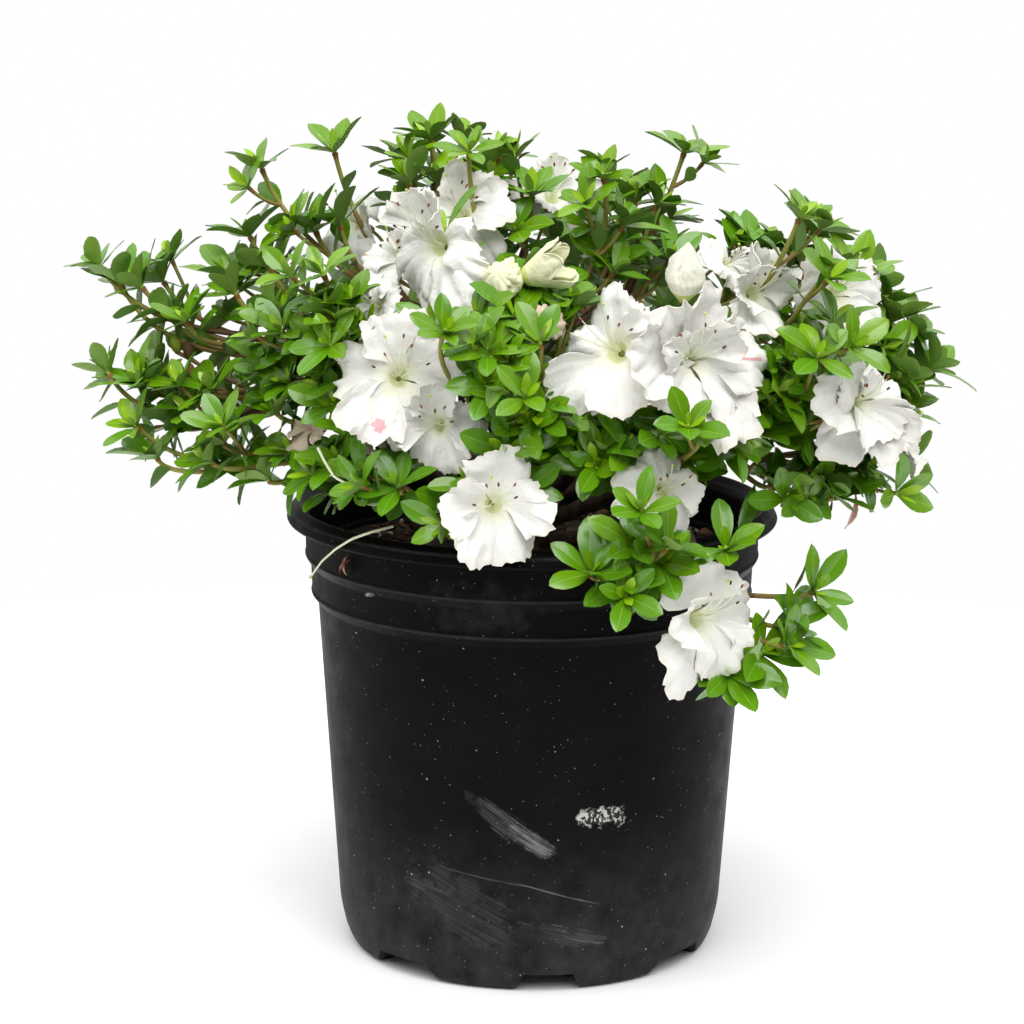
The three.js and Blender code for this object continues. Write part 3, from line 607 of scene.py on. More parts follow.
def markMask(finish, mark, bearing, height, uneven):
    middle, half = mark["middle"], mark["half"]
    radius = np.interp(middle[1], [c[1] for c in potShape["outside"][:12]],
                       [c[0] for c in potShape["outside"][:12]])
    across = finish.maths("MULTIPLY_ADD", bearing, float(radius), -radius * math.radians(middle[0]))
    above = finish.maths("SUBTRACT", height, middle[1])
    slant = math.radians(mark["slant"])
    cos, sin = math.cos(slant), math.sin(slant)
    along = finish.maths("ADD", finish.maths("MULTIPLY", across, cos), finish.maths("MULTIPLY", above, sin))
    over = finish.maths("SUBTRACT", finish.maths("MULTIPLY", above, cos), finish.maths("MULTIPLY", across, sin))
    place = finish.node("CombineXYZ", {0: finish.maths("MULTIPLY", along, mark["grain"][0] * mm),
                                       1: finish.maths("MULTIPLY", over, mark["grain"][1] * mm),
                                       2: middle[0]}).outputs[0]
    streak = finish.noise(1.0, 2, 0.6, place)
    inside = [finish.maths("POWER", finish.maths("ABSOLUTE", finish.maths("DIVIDE", value, size)), 2.0)
              for value, size in ((along, half[0]), (over, half[1]))]
    spread = finish.maths("ADD", inside[0], inside[1])
    edge = finish.maths("MULTIPLY_ADD", finish.maths("SUBTRACT", uneven, 0.5), 2 * mark["ragged"], spread)
    body = finish.between(edge, 1, 0, 0.45, 1.15)
    grain = finish.between(streak, 0.05, 1, *mark["broken"])
    return finish.maths("MULTIPLY", finish.maths("MULTIPLY", body, grain), mark["strength"])


def makePot():
    ring = roundedOutline([(potShape["footInnerRadius"], potShape["floorHeight"], 0)]
                          + [(potShape["footInnerRadius"], 0, 0.6)] + potShape["outside"]
                          + potShape["inside"] + [(0, 12.4, 0)])
    outline = [np.array([0, potShape["floorHeight"]])] + ring
    pile = latheFaces(withSteps(outline, 9), potShape["sides"])
    pot = makePiece("nursery_pot", pile, [potPlastic()], ["pot"], 40)
    # the pattern is placed from the pot's own axis, so the mesh is shifted back under its object
    shift = Vector(potMiddle)
    pot.data.transform(Matrix.Translation(-shift))
    pot.location = shift
    cutters = makeSlotCutters()
    cut = pot.modifiers.new("slots", "BOOLEAN")
    cut.operation, cut.object, cut.solver = "DIFFERENCE", cutters, "EXACT"
    bpy.context.view_layer.update()
    shown = bpy.data.meshes.new_from_object(pot.evaluated_get(bpy.context.evaluated_depsgraph_get()))
    pot.modifiers.clear()
    pot.data = shown
    bpy.data.objects.remove(cutters)
    shown.polygons.foreach_set("use_smooth", np.ones(len(shown.polygons), bool))
    shown.set_sharp_from_angle(angle=math.radians(40))
    shown.update()
    return pot


makePot()
print("the pot stands")


# the potting mix: a lumpy bark surface with chips and a few white grains

mixShape = {
    "rings": 34, "sides": 120, "lump": 2.2, "dip": 1.0, "chips": 520, "chipLength": (4, 13),
    "grains": 90, "clear": 1.0,
}


def makePottingMix():
    draw = seededRandom(11)
    edge = np.interp(soilTop, [187, 214], [111.4, 117.8]) - mixShape["clear"]
    rings, sides = mixShape["rings"], mixShape["sides"]
    points = []
    for i in range(1, rings + 1):
        reach = edge * i / rings
        for k in range(sides):
            angle = 2 * math.pi * k / sides
            x, y = reach * math.cos(angle), reach * math.sin(angle)
            rough = noise.noise(Vector((x, y, 3)) * 0.11) + 0.6 * noise.noise(Vector((x, y, 9)) * 0.32)
            points.append((x, y, soilTop - mixShape["dip"] + mixShape["lump"] * 0.5 * (rough - 1)))
    below = [(edge * 0.97 * math.cos(2 * math.pi * k / sides), edge * 0.97 * math.sin(2 * math.pi * k / sides),
              soilTop - 24) for k in range(sides)]
    centre = [(0, 0, soilTop - 2), (0, 0, soilTop - 24)]
    pile = Pile()
    pile.add(points + below + centre, gridFaces(rings + 1, sides, True))
    around, after = np.arange(sides), (np.arange(sides) + 1) % sides
    top, bottom = len(points) + sides, len(points) + sides + 1
    pile.faces.append(np.stack([np.full(sides, top), around, after], axis=-1))
    pile.faces.append(np.stack([np.full(sides, bottom), rings * sides + after, rings * sides + around], -1))
    pile.finishes += [np.zeros(sides, int)] * 2
    for i in range(mixShape["chips"]):
        place = at(360 * draw(), (edge - 6) * math.sqrt(draw()), soilTop - 1.2 + 1.6 * draw())
        heading = unit(np.array([draw() - 0.5, draw() - 0.5, 0.3 * (draw() - 0.5)]))
        low, high = mixShape["chipLength"]
        length = low + (high - low) * draw() ** 2
        addBall(pile, place, heading, length / 2, length * (0.14 + 0.14 * draw()), 1 + int(3 * draw()),
                5, 4, 0.7, draw)
    for i in range(mixShape["grains"]):
        place = at(360 * draw(), (edge - 5) * math.sqrt(draw()), soilTop - 0.6 + draw())
        addBall(pile, place, up, 1 + draw(), 1 + draw(), 4, 5, 4, 0.5, draw)
    peat = Finish("darkPeat", "1d150f", 0.95)
    peat.paint(peat.blend(peat.between(peat.noise(160, 4), 0, 1, 0.3, 0.7), "120c08", "33251a"))
    peat.relief(peat.noise(700, 4), 0.0008, 0.8)
    finishes = [peat.material]
    for name, colour in (("barkChipDark", "2a1c12"), ("barkChipBrown", "4a301d"), ("barkChipTan", "6b4c31")):
        chip = Finish(name, colour, 0.85)
        finishes.append(chip.relief(chip.noise(500, 4, 0.6, chip.stretched((1, 1, 3))), 0.0005, 0.7).material)
    grain = Finish("whiteGrain", "c9c6bd", 0.8)
    finishes.append(grain.relief(grain.noise(1500, 3), 0.0003, 0.6).material)
    makePiece("potting_mix_surface", pile, finishes, ["potting_mix"], 60)


makePottingMix()


# the woody limbs, as the solids have them: a short flared trunk and its boughs

trunkShape = {"baseRadius": 21, "topRadius": 10.5, "height": 42, "lean": (4, -3), "lobes": 5,
              "lobeDepth": 0.16, "above": 0.3, "sides": 56, "rings": 70}
boughShape = {"rootRadius": 4.7, "tipRadius": 3.7, "hangingTip": 3, "rise": 0.34, "sag": 0.4,
              "lowest": 16, "sides": 20, "ringEvery": 1.6, "gap": 0.3}
heartHeight = 262  # the crown's shoots radiate from this height on the pot's axis


def spray(on, middle, spread, shoots, leaders=(), blooms=()):
    # middle is bearing, reach and height of the crown of shoot tips; spread its half sizes across
    # and up the crown and inward; blooms are bearing, reach, height, faced bearing, tilt, radius
    return {"on": on, "middle": middle, "spread": spread, "shoots": shoots,
            "leaders": leaders, "blooms": blooms}


boughs = {
    "bough_left": {"tip": (-90, 96, 306), "from": 26},
    "bough_left_low": {"tip": (-64, 80, 277), "from": 14},
    "bough_top_left": {"tip": (-90, 52, 338), "from": 37},
    "bough_front_left": {"tip": (-34, 62, 290), "from": 24},
    "bough_front": {"tip": (0, 58, 283), "from": 15},
    "bough_front_right": {"tip": (32, 66, 292), "from": 25},
    "bough_over_rim": {"tip": (33, 122, 253), "from": 7},
    "bough_right_low": {"tip": (62, 84, 279), "from": 15},
    "bough_right": {"tip": (90, 96, 306), "from": 27},
    "bough_top_right": {"tip": (92, 50, 336), "from": 37},
    "bough_back_right": {"tip": (134, 84, 296), "from": 20},
    "bough_back": {"tip": (178, 70, 298), "from": 27},
    "bough_back_left": {"tip": (-134, 84, 294), "from": 19},
}

sprays = {
    "far_left_spray": spray("bough_left", (-91, 206, 350), (26, 12, 34), 4,
        leaders=[(-90, 216, 354)],
    ),
    "left_upper_spray": spray("bough_left", (-93, 158, 360), (30, 18, 34), 5,
        leaders=[(-95, 150, 378)],
    ),
    "left_middle_spray": spray("bough_left", (-84, 200, 300), (32, 16, 36), 6,
        leaders=[(-85, 206, 304)],
    ),
    "left_lower_spray": spray("bough_left_low", (-72, 176, 272), (34, 12, 34), 5,
        leaders=[(-80, 198, 268)],
    ),
    "left_shoulder": spray("bough_left_low", (-64, 147, 335), (30, 24, 28), 5,
        leaders=[(-60, 150, 300)],
    ),
    "left_over_rim": spray("bough_left_low", (-46, 138, 274), (34, 14, 22), 5),
    "top_left_leaders": spray("bough_top_left", (-94, 112, 384), (30, 12, 26), 3,
        leaders=[(-94, 143, 414), (-99, 106, 422)],
    ),
    "top_left_crown": spray("bough_top_left", (-97, 58, 428), (32, 20, 34), 6),
    "front_left_high": spray("bough_front_left", (-48, 134, 352), (26, 24, 26), 4),
    "top_left_blooms": spray("bough_front_left", (-40, 84, 388), (26, 20, 24), 3,
        blooms=[(-34, 95, 387, -38, 12, 33), (-40, 60, 400, -16, 26, 25), (-61, 80, 374, -50, 24, 19)],
    ),
    "front_left_blooms": spray("bough_front_left", (-27, 130, 318), (28, 22, 20), 4,
        blooms=[(-30, 134, 326, 2, 12, 31), (-22, 129, 302, -16, 4, 22)],
    ),
    "low_front_bloom": spray("bough_front", (-8, 140, 268), (22, 8, 14), 2,
        blooms=[(-7, 152, 268, 10, 2, 29)],
    ),
    "front_high": spray("bough_front", (-4, 104, 358), (32, 22, 28), 6),
    "front_middle": spray("bough_front", (6, 126, 306), (30, 20, 24), 5),
    "front_right_blooms": spray("bough_front_right", (24, 136, 344), (36, 24, 22), 3,
        blooms=[(17, 128, 341, -22, 14, 35), (30, 156, 338, 22, 8, 36)],
    ),
    "front_right_low": spray("bough_front_right", (27, 142, 288), (36, 14, 20), 5,
        blooms=[(25, 153, 273, 14, 0, 24)],
    ),
    "right_front_spray": spray("bough_front_right", (47, 152, 322), (28, 26, 26), 5),
    "hanging_upper_spray": spray("bough_hanging", (20, 158, 238), (28, 16, 8), 5),
    "hanging_lower_spray": spray("bough_hanging", (42, 166, 192), (34, 22, 10), 5,
        leaders=[(55, 172, 214), (38, 158, 178)],
        blooms=[(31, 168, 211, 44, 8, 32)],
    ),
    "right_low_spray": spray("bough_right_low", (70, 178, 272), (30, 14, 26), 5,
        leaders=[(62, 172, 260), (56, 146, 266)],
        blooms=[(73, 198, 286, 76, 10, 20)],
    ),
    "right_blooms": spray("bough_right_low", (58, 182, 316), (24, 22, 20), 4,
        blooms=[(57, 195, 313, 38, 6, 27)],
    ),
    "far_right_upper_spray": spray("bough_right", (90, 185, 341), (30, 18, 30), 6,
        blooms=[(69, 168, 362, 40, 20, 27)],
    ),
    "far_right_lower_spray": spray("bough_right", (87, 192, 296), (28, 18, 30), 5,
        leaders=[(86, 192, 304)],
    ),
    "right_shoulder": spray("bough_top_right", (86, 138, 368), (28, 20, 32), 5,
        leaders=[(85, 142, 388), (84, 166, 362)],
        blooms=[(55, 138, 364, 34, 18, 25)],
    ),
    "top_right_crown": spray("bough_top_right", (80, 58, 400), (32, 22, 34), 5,
        leaders=[(94, 78, 424)],
    ),
    "top_middle_crown": spray("bough_front", (-60, 16, 422), (30, 24, 34), 5,
        blooms=[(118, 12, 404, 20, 50, 24)],
    ),
    "back_right_spray": spray("bough_back_right", (138, 166, 322), (40, 24, 30), 5,
        blooms=[(124, 168, 338, 128, 24, 28)],
    ),
    "back_right_low_spray": spray("bough_back_right", (114, 177, 283), (36, 14, 26), 5),
    "back_right_crown": spray("bough_back", (146, 96, 376), (34, 24, 28), 5,
        blooms=[(160, 112, 372, 158, 34, 30)],
    ),
    "back_middle_spray": spray("bough_back", (178, 156, 306), (38, 26, 28), 5,
        blooms=[(184, 160, 316, 188, 16, 29)],
    ),
    "back_left_crown": spray("bough_back", (-150, 92, 382), (34, 24, 28), 5),
    "back_left_spray": spray("bough_back_left", (-140, 160, 324), (40, 24, 30), 5,
        blooms=[(-146, 168, 316, -144, 18, 30)],
    ),
    "back_left_low_spray": spray("bough_back_left", (-112, 178, 290), (36, 14, 28), 5),
}

# how full a spray is of side twigs: the outer ones at the left show sky between their shoots
fullness = {
    "far_left_spray": 0.1, "left_upper_spray": 0.3, "left_middle_spray": 0.1, "left_lower_spray": 0.1,
    "left_shoulder": 0.8, "top_left_leaders": 0.2, "top_left_crown": 0.7, "back_left_low_spray": 0.1,
    "back_left_spray": 0.45, "back_left_crown": 0.7, "front_middle": 1.4, "front_high": 1.2,
    "top_right_crown": 0.6, "right_shoulder": 0.6, "far_right_lower_spray": 0.5,
    "hanging_upper_spray": 0.25, "hanging_lower_spray": 0, "back_right_low_spray": 0.5,
}

hangingBough = {"name": "bough_hanging", "on": "bough_over_rim", "tip": (34, 149, 228)}


def trunkPoint(height):
    bend = (height / trunkShape["height"]) ** 2
    lean = trunkShape["lean"]
    return np.array([lean[0] * bend, lean[1] * bend, soilTop + trunkShape["above"] + height])


def trunkRadius(height):
    share = height / trunkShape["height"]
    body = trunkShape["topRadius"] + 2.5 * (1 - share)
    return body + (trunkShape["baseRadius"] - trunkShape["topRadius"] - 2.5) * math.exp(-5 * share)


def limbOf(points):
    return {"points": points, "tip": points[-1], "heading": unit(points[-1] - points[-2])}


def boughLimb(tip, startHeight, count=5):
    root, end = trunkPoint(startHeight), at(*tip)
    control = (root + end) / 2 - up * boughShape["rise"] * boughShape["sag"] * distance(root, end)
    control[2] = max(control[2], soilTop + boughShape["lowest"])
    return limbOf(curvePoints(root, control, end, count))


def finer(points, every):
    # the same line through more points, eased round the given ones
    steps = np.concatenate([[0], np.cumsum(np.linalg.norm(np.diff(points, axis=0), axis=1))])
    count = max(3, int(steps[-1] / every))
    where = np.linspace(0, steps[-1], count)
    return np.stack([np.interp(where, steps, points[:, i]) for i in range(3)], axis=-1)


limbs = {}
for name, bough in boughs.items():
    limbs[name] = boughLimb(bough["tip"], bough["from"])
carrier = limbs[hangingBough["on"]]
hangRoot = carrier["tip"] + carrier["heading"] * boughShape["gap"]
limbs[hangingBough["name"]] = limbOf(curvePoints(
    hangRoot, hangRoot + carrier["heading"] * boughShape["lowest"], at(*hangingBough["tip"]), 5))


def barkSwell(seed, depth, count):
    # ridges that run along the limb and wander, with knots between them
    def swell(angles, i):
        along = i * 0.09
        rows = []
        for angle in angles:
            x, y = math.cos(angle), math.sin(angle)
            ridge = 1 - abs(noise.noise(Vector((x * count, y * count, along + seed))))
            knot = noise.noise(Vector((x * 1.1, y * 1.1, along * 3 + seed * 2)))
            rows.append(1 + depth * (ridge - 0.75) + depth * 0.7 * knot)
        return np.array(rows)
    return swell


def makeBarkLimbs():
    pile = Pile()
    rings = trunkShape["rings"]
    heights = [trunkShape["height"] * (i / (rings - 1)) ** 1.15 for i in range(rings)]
    rough = barkSwell(3, 0.09, 3.2)

    def trunkSwell(angles, i):
        lobe = trunkShape["lobeDepth"] * math.exp(-5 * heights[i] / trunkShape["height"])
        return (1 + lobe * np.cos(trunkShape["lobes"] * angles)) * rough(angles, i)

    addTube(pile, np.array([trunkPoint(h) for h in heights]), [trunkRadius(h) * 0.97 for h in heights],
            trunkShape["sides"], 0, trunkSwell)
    for order, (name, limb) in enumerate(limbs.items()):
        points = finer(limb["points"], boughShape["ringEvery"])
        hanging = name == hangingBough["name"]
        first = boughShape["tipRadius"] if hanging else boughShape["rootRadius"]
        last = boughShape["hangingTip"] if hanging else boughShape["tipRadius"]
        radii = np.linspace(first, last, len(points)) * 0.96
        addTube(pile, points, radii, boughShape["sides"], 0, barkSwell(order * 5.3, 0.12, 2.4))
    bark = Finish("oldAzaleaBark", "4a3626", 0.85)
    grain = bark.noise(260, 5, 0.6, bark.stretched((1, 1, 0.3)))
    colour = bark.blend(bark.between(grain, 0, 1, 0.3, 0.7), "2c1f15", "6a5442")
    lichen = bark.between(bark.noise(60, 4, 0.6), 0, 0.35, 0.6, 0.75)
    bark.paint(bark.blend(lichen, colour, "8b8671"))
    bark.relief(grain, 0.0012, 0.9)
    makePiece("bark_limbs", pile, [bark.material], ["trunk", *limbs], 70)


makeBarkLimbs()
print("mix and bark are laid")


# growth: each spray's stem leaves its bough, shoots leave the stem, side twigs leave the shoots,
# and every one of them ends in a rosette of leaves

stemShape = {"rootRadius": 1.9, "endRadius": 1.5, "rootSpacing": 1.95, "sections": 5, "depth": 22,
             "firstRoot": 0.36}
shootShape = {"radius": (1.6, 1.2), "bend": 0.45, "outward": 0.62, "upward": 0.72, "whorl": 6,
              "leafLength": 28, "lengthShare": (0.8, 0.3), "open": (30, 72), "levelAbove": 424,
              "leaderScale": 0.8, "hangingScale": 0.96}
twigShape = {"radius": (1.15, 0.9), "perShoot": (30, 3.4), "length": (17, 34), "from": 0.28, "to": 0.84,
             "spread": (34, 62), "whorl": 5, "leafLength": 25}
leafAlong = {"every": 9, "from": 0.3, "to": 0.86, "length": (18, 26), "open": (40, 68), "least": 0.7}
lowestLeaf = 243  # leaves and shoots stay above this, but for the hanging bough's and
lowFront = (-8, 45)  # those between these bearings
edges = {"back": 164, "right": 212}  # side twigs stop short of these depths from the pot's axis
heartLeaves = {"count": 3, "length": (8, 15), "open": (14, 36)}

moreBlooms = {  # smaller ones between the sprays, carried by the named spray
    "far_right_upper_spray": [(66, 110, 374, 50, 20, 15)],
    "top_left_leaders": [(-104, 100, 385, -50, 22, 24)],
    "front_left_high": [(-50, 108, 354, -50, 14, 19)],
}
moreLeaders = {  # shoots that stand in front of the blooms or clear of the crown
    "front_middle": [(-17.6, 147, 352), (-9, 147, 343), (1, 142, 347), (-5, 148, 320)],
    "far_left_spray": [(-90.5, 227, 363)],
    "left_middle_spray": [(-86, 222, 309)],
    "left_lower_spray": [(-80, 208, 285)],
    "left_over_rim": [(-28, 142, 272)],
    "front_high": [(-34, 60, 430), (30, 69, 418)],
    "front_left_high": [(-52, 134, 372), (-46, 134, 350)],
    "front_right_low": [(28.4, 170, 305)],
    "right_front_spray": [(52, 179, 324), (56, 179, 350)],
    "far_right_upper_spray": [(57, 173, 376)],
    "right_shoulder": [(56, 158, 402)],
    "hanging_upper_spray": [(22, 172, 250), (33, 173, 246), (19.4, 148, 214)],
    "hanging_lower_spray": [(45.2, 177, 193)],
}
veiledBelow = 25.5  # leaves may stand in front of the smaller blooms
budsAndSpent = [
    {"kind": "halfOpen", "place": (3, 94, 377), "faces": (78, 22), "length": 26, "radius": 11.5},
    {"kind": "roundBud", "place": (-9, 97, 372), "faces": (-30, 30), "length": 17, "radius": 9},
    {"kind": "pointedBud", "place": (33, 136, 379), "faces": (10, 74), "length": 31, "radius": 8.8},
    {"kind": "spent", "place": (-54, 142, 293), "faces": (-40, 10), "length": 20, "radius": 12},
    {"kind": "spent", "place": (1, 112, 352), "faces": (0, 10), "length": 20, "radius": 12},
    {"kind": "spent", "place": (-40, 128, 292), "faces": (-30, 0), "length": 16, "radius": 9},
]

# finishes of the twigs, oldest wood first
twigShades = ["oldTwigBark", "brownTwigBark", "tanTwigBark", "youngTwigBark", "redWhorlBase", "leafBud"]
oldWood, brownWood, tanWood, youngWood, redBase, greenBud = range(6)

twigs = Pile()
leaves = []
rosettes = []


def bloomPlaces():
    # every flower's middle, facing and size, so that what grows can keep out of it
    places = []
    for name, mass in sprays.items():
        for bearing, reach, height, faceBearing, tilt, radius in [*mass["blooms"], *moreBlooms.get(name, [])]:
            places.append((at(bearing, reach, height), facing(faceBearing, tilt), radius))
    for bud in budsAndSpent:
        places.append((at(*bud["place"]), facing(*bud["faces"]), bud["radius"]))
    return places


def inFlower(points, behind, before, wide=0.86):
    # whether any point lies in a flower's face, from `behind` to `before` it in shares of its radius
    for centre, axis, radius in bloomSpaces:
        away = points - centre
        ahead = min(before, 0.45) if radius < veiledBelow else before
        along = away @ axis
        off = np.linalg.norm(away - np.outer(along, axis), axis=1)
        if np.any((off < wide * radius) & (along > behind * radius) & (along < ahead * radius)):
            return True
    return False


def massFrame(mass):
    centre = at(*mass["middle"])
    out = unit(centre - up * heartHeight)
    across = unit(np.cross(up, out))
    return centre, out, across, np.cross(out, across)


def shootTips(mass, draw):
    centre, out, across, rise = massFrame(mass)
    turn = draw() * 2 * math.pi
    tips = [at(*leader) for leader in mass["leaders"]]
    wide, tall, inward = mass["spread"]
    for i in range(mass["shoots"]):
        radius = math.sqrt((i + 0.5) / mass["shoots"])
        angle = turn + 2 * math.pi * i * goldenShare
        depth = inward * ((i * goldenShare) % 1)
        tips.append(centre + across * wide * radius * math.cos(angle)
                    + rise * tall * radius * math.sin(angle) - out * depth)
    return tips


def stemRoots(limb, names):
    tip, heading = limb["tip"], limb["heading"]
    side = squareTo(heading)
    other = np.cross(heading, side)
    headings = [unit(massFrame(sprays[name])[0] - tip) for name in names]
    mean = sum(headings) / len(names)
    turns = sorted((math.atan2(np.dot(one - mean, other), np.dot(one - mean, side)), k)
                   for k, one in enumerate(headings))
    step = 2 * math.pi / len(names)
    phase = sum(angle - order * step for order, (angle, _) in enumerate(turns)) / len(names)
    spacing = stemShape["rootSpacing"] if len(names) > 1 else 0
    roots = {}
    for order, (_, k) in enumerate(turns):
        angle = phase + order * step
        roots[names[k]] = (tip + heading * boughShape["gap"]
                           + spacing * (side * math.cos(angle) + other * math.sin(angle)))
    return roots


def pointOn(points, share):
    place = share * (len(points) - 1)
    i = min(int(place), len(points) - 2)
    return points[i] + (points[i + 1] - points[i]) * (place - i)


def headingOn(points, share):
    return unit(pointOn(points, min(share + 0.04, 1)) - pointOn(points, max(share - 0.04, 0)))


def addLeaf(root, heading, direction, length, shade, width=1.0, bend=None, draw=None):
    side = unit(np.cross(heading, direction))
    leaves.append({"root": root, "direction": direction, "side": side, "length": length,
                   "shade": shade, "width": width * (0.92 + 0.2 * draw()),
                   "bend": (0.08 + 0.5 * draw()) if bend is None else bend,
                   "fold": 0.14 + 0.3 * draw(), "twist": 0.5 * (draw() - 0.5)})


def tilted(heading, side, other, angle, open_):
    away = side * math.cos(angle) + other * math.sin(angle)
    return heading * math.cos(open_) + away * math.sin(open_)


def leafColourFor(ageAndPaintedShade, draw):
    # darkness is leaf age plus painted shade: 0 is this year's growth in full light, 1 is old leaf in deep
    # painted shade; see leafShades
    place = ageAndPaintedShade * 5 + (draw() - 0.5) * 1.5
    return int(min(5, max(0, round(place))))


def addRosette(tip, heading, radius, outer, ageAndPaintedShade, draw):
    # `outer` are the directions and lengths of its full leaves
    rosettes.append(tip)
    for direction, length in outer:
        addLeaf(tip, heading, direction, length, leafColourFor(ageAndPaintedShade + 0.12 * (draw() - 0.3), draw), draw=draw)
    side = squareTo(heading)
    other = np.cross(heading, side)
    turn = draw() * 2 * math.pi
    for i in range(heartLeaves["count"]):
        angle = turn + 2 * math.pi * (i + 0.4 * draw()) / heartLeaves["count"]
        low, high = heartLeaves["open"]
        open_ = math.radians(low + (high - low) * draw())
        length = heartLeaves["length"][0] + (heartLeaves["length"][1] - heartLeaves["length"][0]) * draw()
        addLeaf(tip + heading * 0.8, heading, tilted(heading, side, other, angle, open_), length,
                leafColourFor(max(0, ageAndPaintedShade - 0.45), draw), 0.8, 0.15, draw)
    addBall(twigs, tip + heading * 1.6, heading, 2.6, radius * 1.15, greenBud, 6, 4)


def twigPath(root, control, tip, every=2.6):
    count = max(6, int(distance(root, tip) / every))
    return curvePoints(root, control, tip, count)


def growTwig(points, radii, start, end):
    # bark shade changes along the twig: `start` and `end` are ages, 1 old and 0 new
    count = len(points)
    sizes = np.linspace(radii[0], radii[1], count)
    sizes[-2:] = [radii[1] * 1.2, radii[1] * 1.45]
    ages = np.linspace(start, end, count - 1)
    shades = np.select([ages > 0.8, ages > 0.55, ages > 0.3], [oldWood, brownWood, tanWood], youngWood)
    shades[-1:] = redBase
    knots = np.array([1 + 0.1 * noise.noise(Vector(point) * 0.35) for point in points])
    addTube(twigs, points, sizes * knots, 7, shades)


def leavesAlong(points, ageAndPaintedShade, draw, full=1, scale=1.0):
    length = float(np.sum(np.linalg.norm(np.diff(points, axis=0), axis=1)))
    span = length * (leafAlong["to"] - leafAlong["from"])
    count = int(span / leafAlong["every"] * max(leafAlong["least"], min(1, full)) + 0.3)
    turn = draw() * 2 * math.pi
    for i in range(count):
        share = leafAlong["from"] + (leafAlong["to"] - leafAlong["from"]) * (i + 0.6 * draw()) / count
        heading = headingOn(points, share)
        side = squareTo(heading)
        other = np.cross(heading, side)
        low, high = leafAlong["open"]
        open_ = math.radians(low + (high - low) * draw())
        direction = tilted(heading, side, other, turn + i * 2 * math.pi * goldenShare, open_)
        direction = unit(direction + up * 0.12)
        size = leafAlong["length"][0] + (leafAlong["length"][1] - leafAlong["length"][0]) * draw()
        addLeaf(pointOn(points, share), heading, direction, size * scale,
                leafColourFor(ageAndPaintedShade + 0.5 * (1 - share), draw), draw=draw)


def growSpray(name, mass, root, limb, seed):
    draw, more = seededRandom(seed), seededRandom(seed + 500)
    centre, out, across, rise = massFrame(mass)
    end = centre - out * (mass["spread"][2] + stemShape["depth"])
    control = root + limb["heading"] * 0.3 * distance(root, end)
    stem = curvePoints(root, control, end, stemShape["sections"])
    growTwig(finer(stem, 3), (stemShape["rootRadius"], stemShape["endRadius"]), 1, 0.62)
    tips = shootTips(mass, draw)
    grown = len(tips)
    tips += [at(*leader) for leader in moreLeaders.get(name, [])]
    first = len(leaves)
    for order, tip in enumerate(tips):
        place = (order + 0.9) / len(tips)
        start = pointOn(stem, stemShape["firstRoot"] + (1 - stemShape["firstRoot"]) * place)
        lift = np.array([draw() - 0.5, draw() - 0.5, 0]) * 0.5
        heading = unit(out * shootShape["outward"] + up * shootShape["upward"] + lift)
        bend = shootShape["bend"] * (1 if tip[2] > start[2] + 12 else 0.4)
        control = tip - heading * bend * distance(start, tip)
        side = squareTo(heading)
        other = np.cross(heading, side)
        smaller = shootShape["leaderScale"] if order >= grown else 1
        if mass["on"] == hangingBough["name"]:
            smaller = shootShape["hangingScale"]
        whorl = []
        for i in range(shootShape["whorl"]):
            angle = 2 * math.pi * (i + 0.5 + 0.3 * (draw() - 0.5)) / shootShape["whorl"]
            low, high = shootShape["open"]
            low += 1.3 * max(0, tip[2] - shootShape["levelAbove"])  # the highest shoots open flatter
            open_ = math.radians(low + max(6, high - low) * draw())
            least, more_ = shootShape["lengthShare"]
            size = shootShape["leafLength"] * (least + more_ * draw()) * leafScale(tip) * smaller
            whorl.append((tilted(heading, side, other, angle, open_), size))
        points = twigPath(start, control, tip)
        bare = mass["on"] != hangingBough["name"] and hangsBare(tip)
        if bare or len(mass["leaders"]) <= order < grown and inFlower(points, -0.2, 0.9, 0.8):
            continue
        # leaf darkness here is painted shade, from the tip's place in the crown
        ageAndPaintedShade = paintedShadeAt(tip)
        growTwig(points, shootShape["radius"], 0.75, 0.0)
        addRosette(tip, heading, shootShape["radius"][1], whorl, ageAndPaintedShade, more)
        leavesAlong(points, ageAndPaintedShade + 0.1, more, fullness.get(name, 1))
        growSideTwigs(points, out, ageAndPaintedShade, more, fullness.get(name, 1))
    for leaf in leaves[first:]:
        leaf["hangs"] = mass["on"] == hangingBough["name"]
    return stem


def hangsBare(tip):
    # whether a shoot would end below the lowest leaves, away from the front
    bearing = math.degrees(math.atan2(tip[0], -tip[1]))
    return tip[2] < lowestLeaf + 12 and not lowFront[0] < bearing < lowFront[1]


def overEdge(tip):
    return tip[1] > edges["back"] or tip[0] > edges["right"]


def leafScale(tip):
    # leaves are smaller at the top and at the far left
    high = 1 - 0.17 * smoothStep(385, 415, tip[2])
    return high * (1 - 0.08 * smoothStep(95, 130, -tip[0]))


def paintedShadeAt(place):
    # painted shade: leaves deep in the crown and low down get darker leaf colours, and those at its top and rim
    # lighter ones, as the light falls on the crown
    deep = 1 - min(1, distance(place, up * heartHeight) / 190)
    low = 1 - min(1, max(0, (place[2] - 200) / 220))
    return min(1, 0.3 + 0.5 * deep + 0.2 * low)


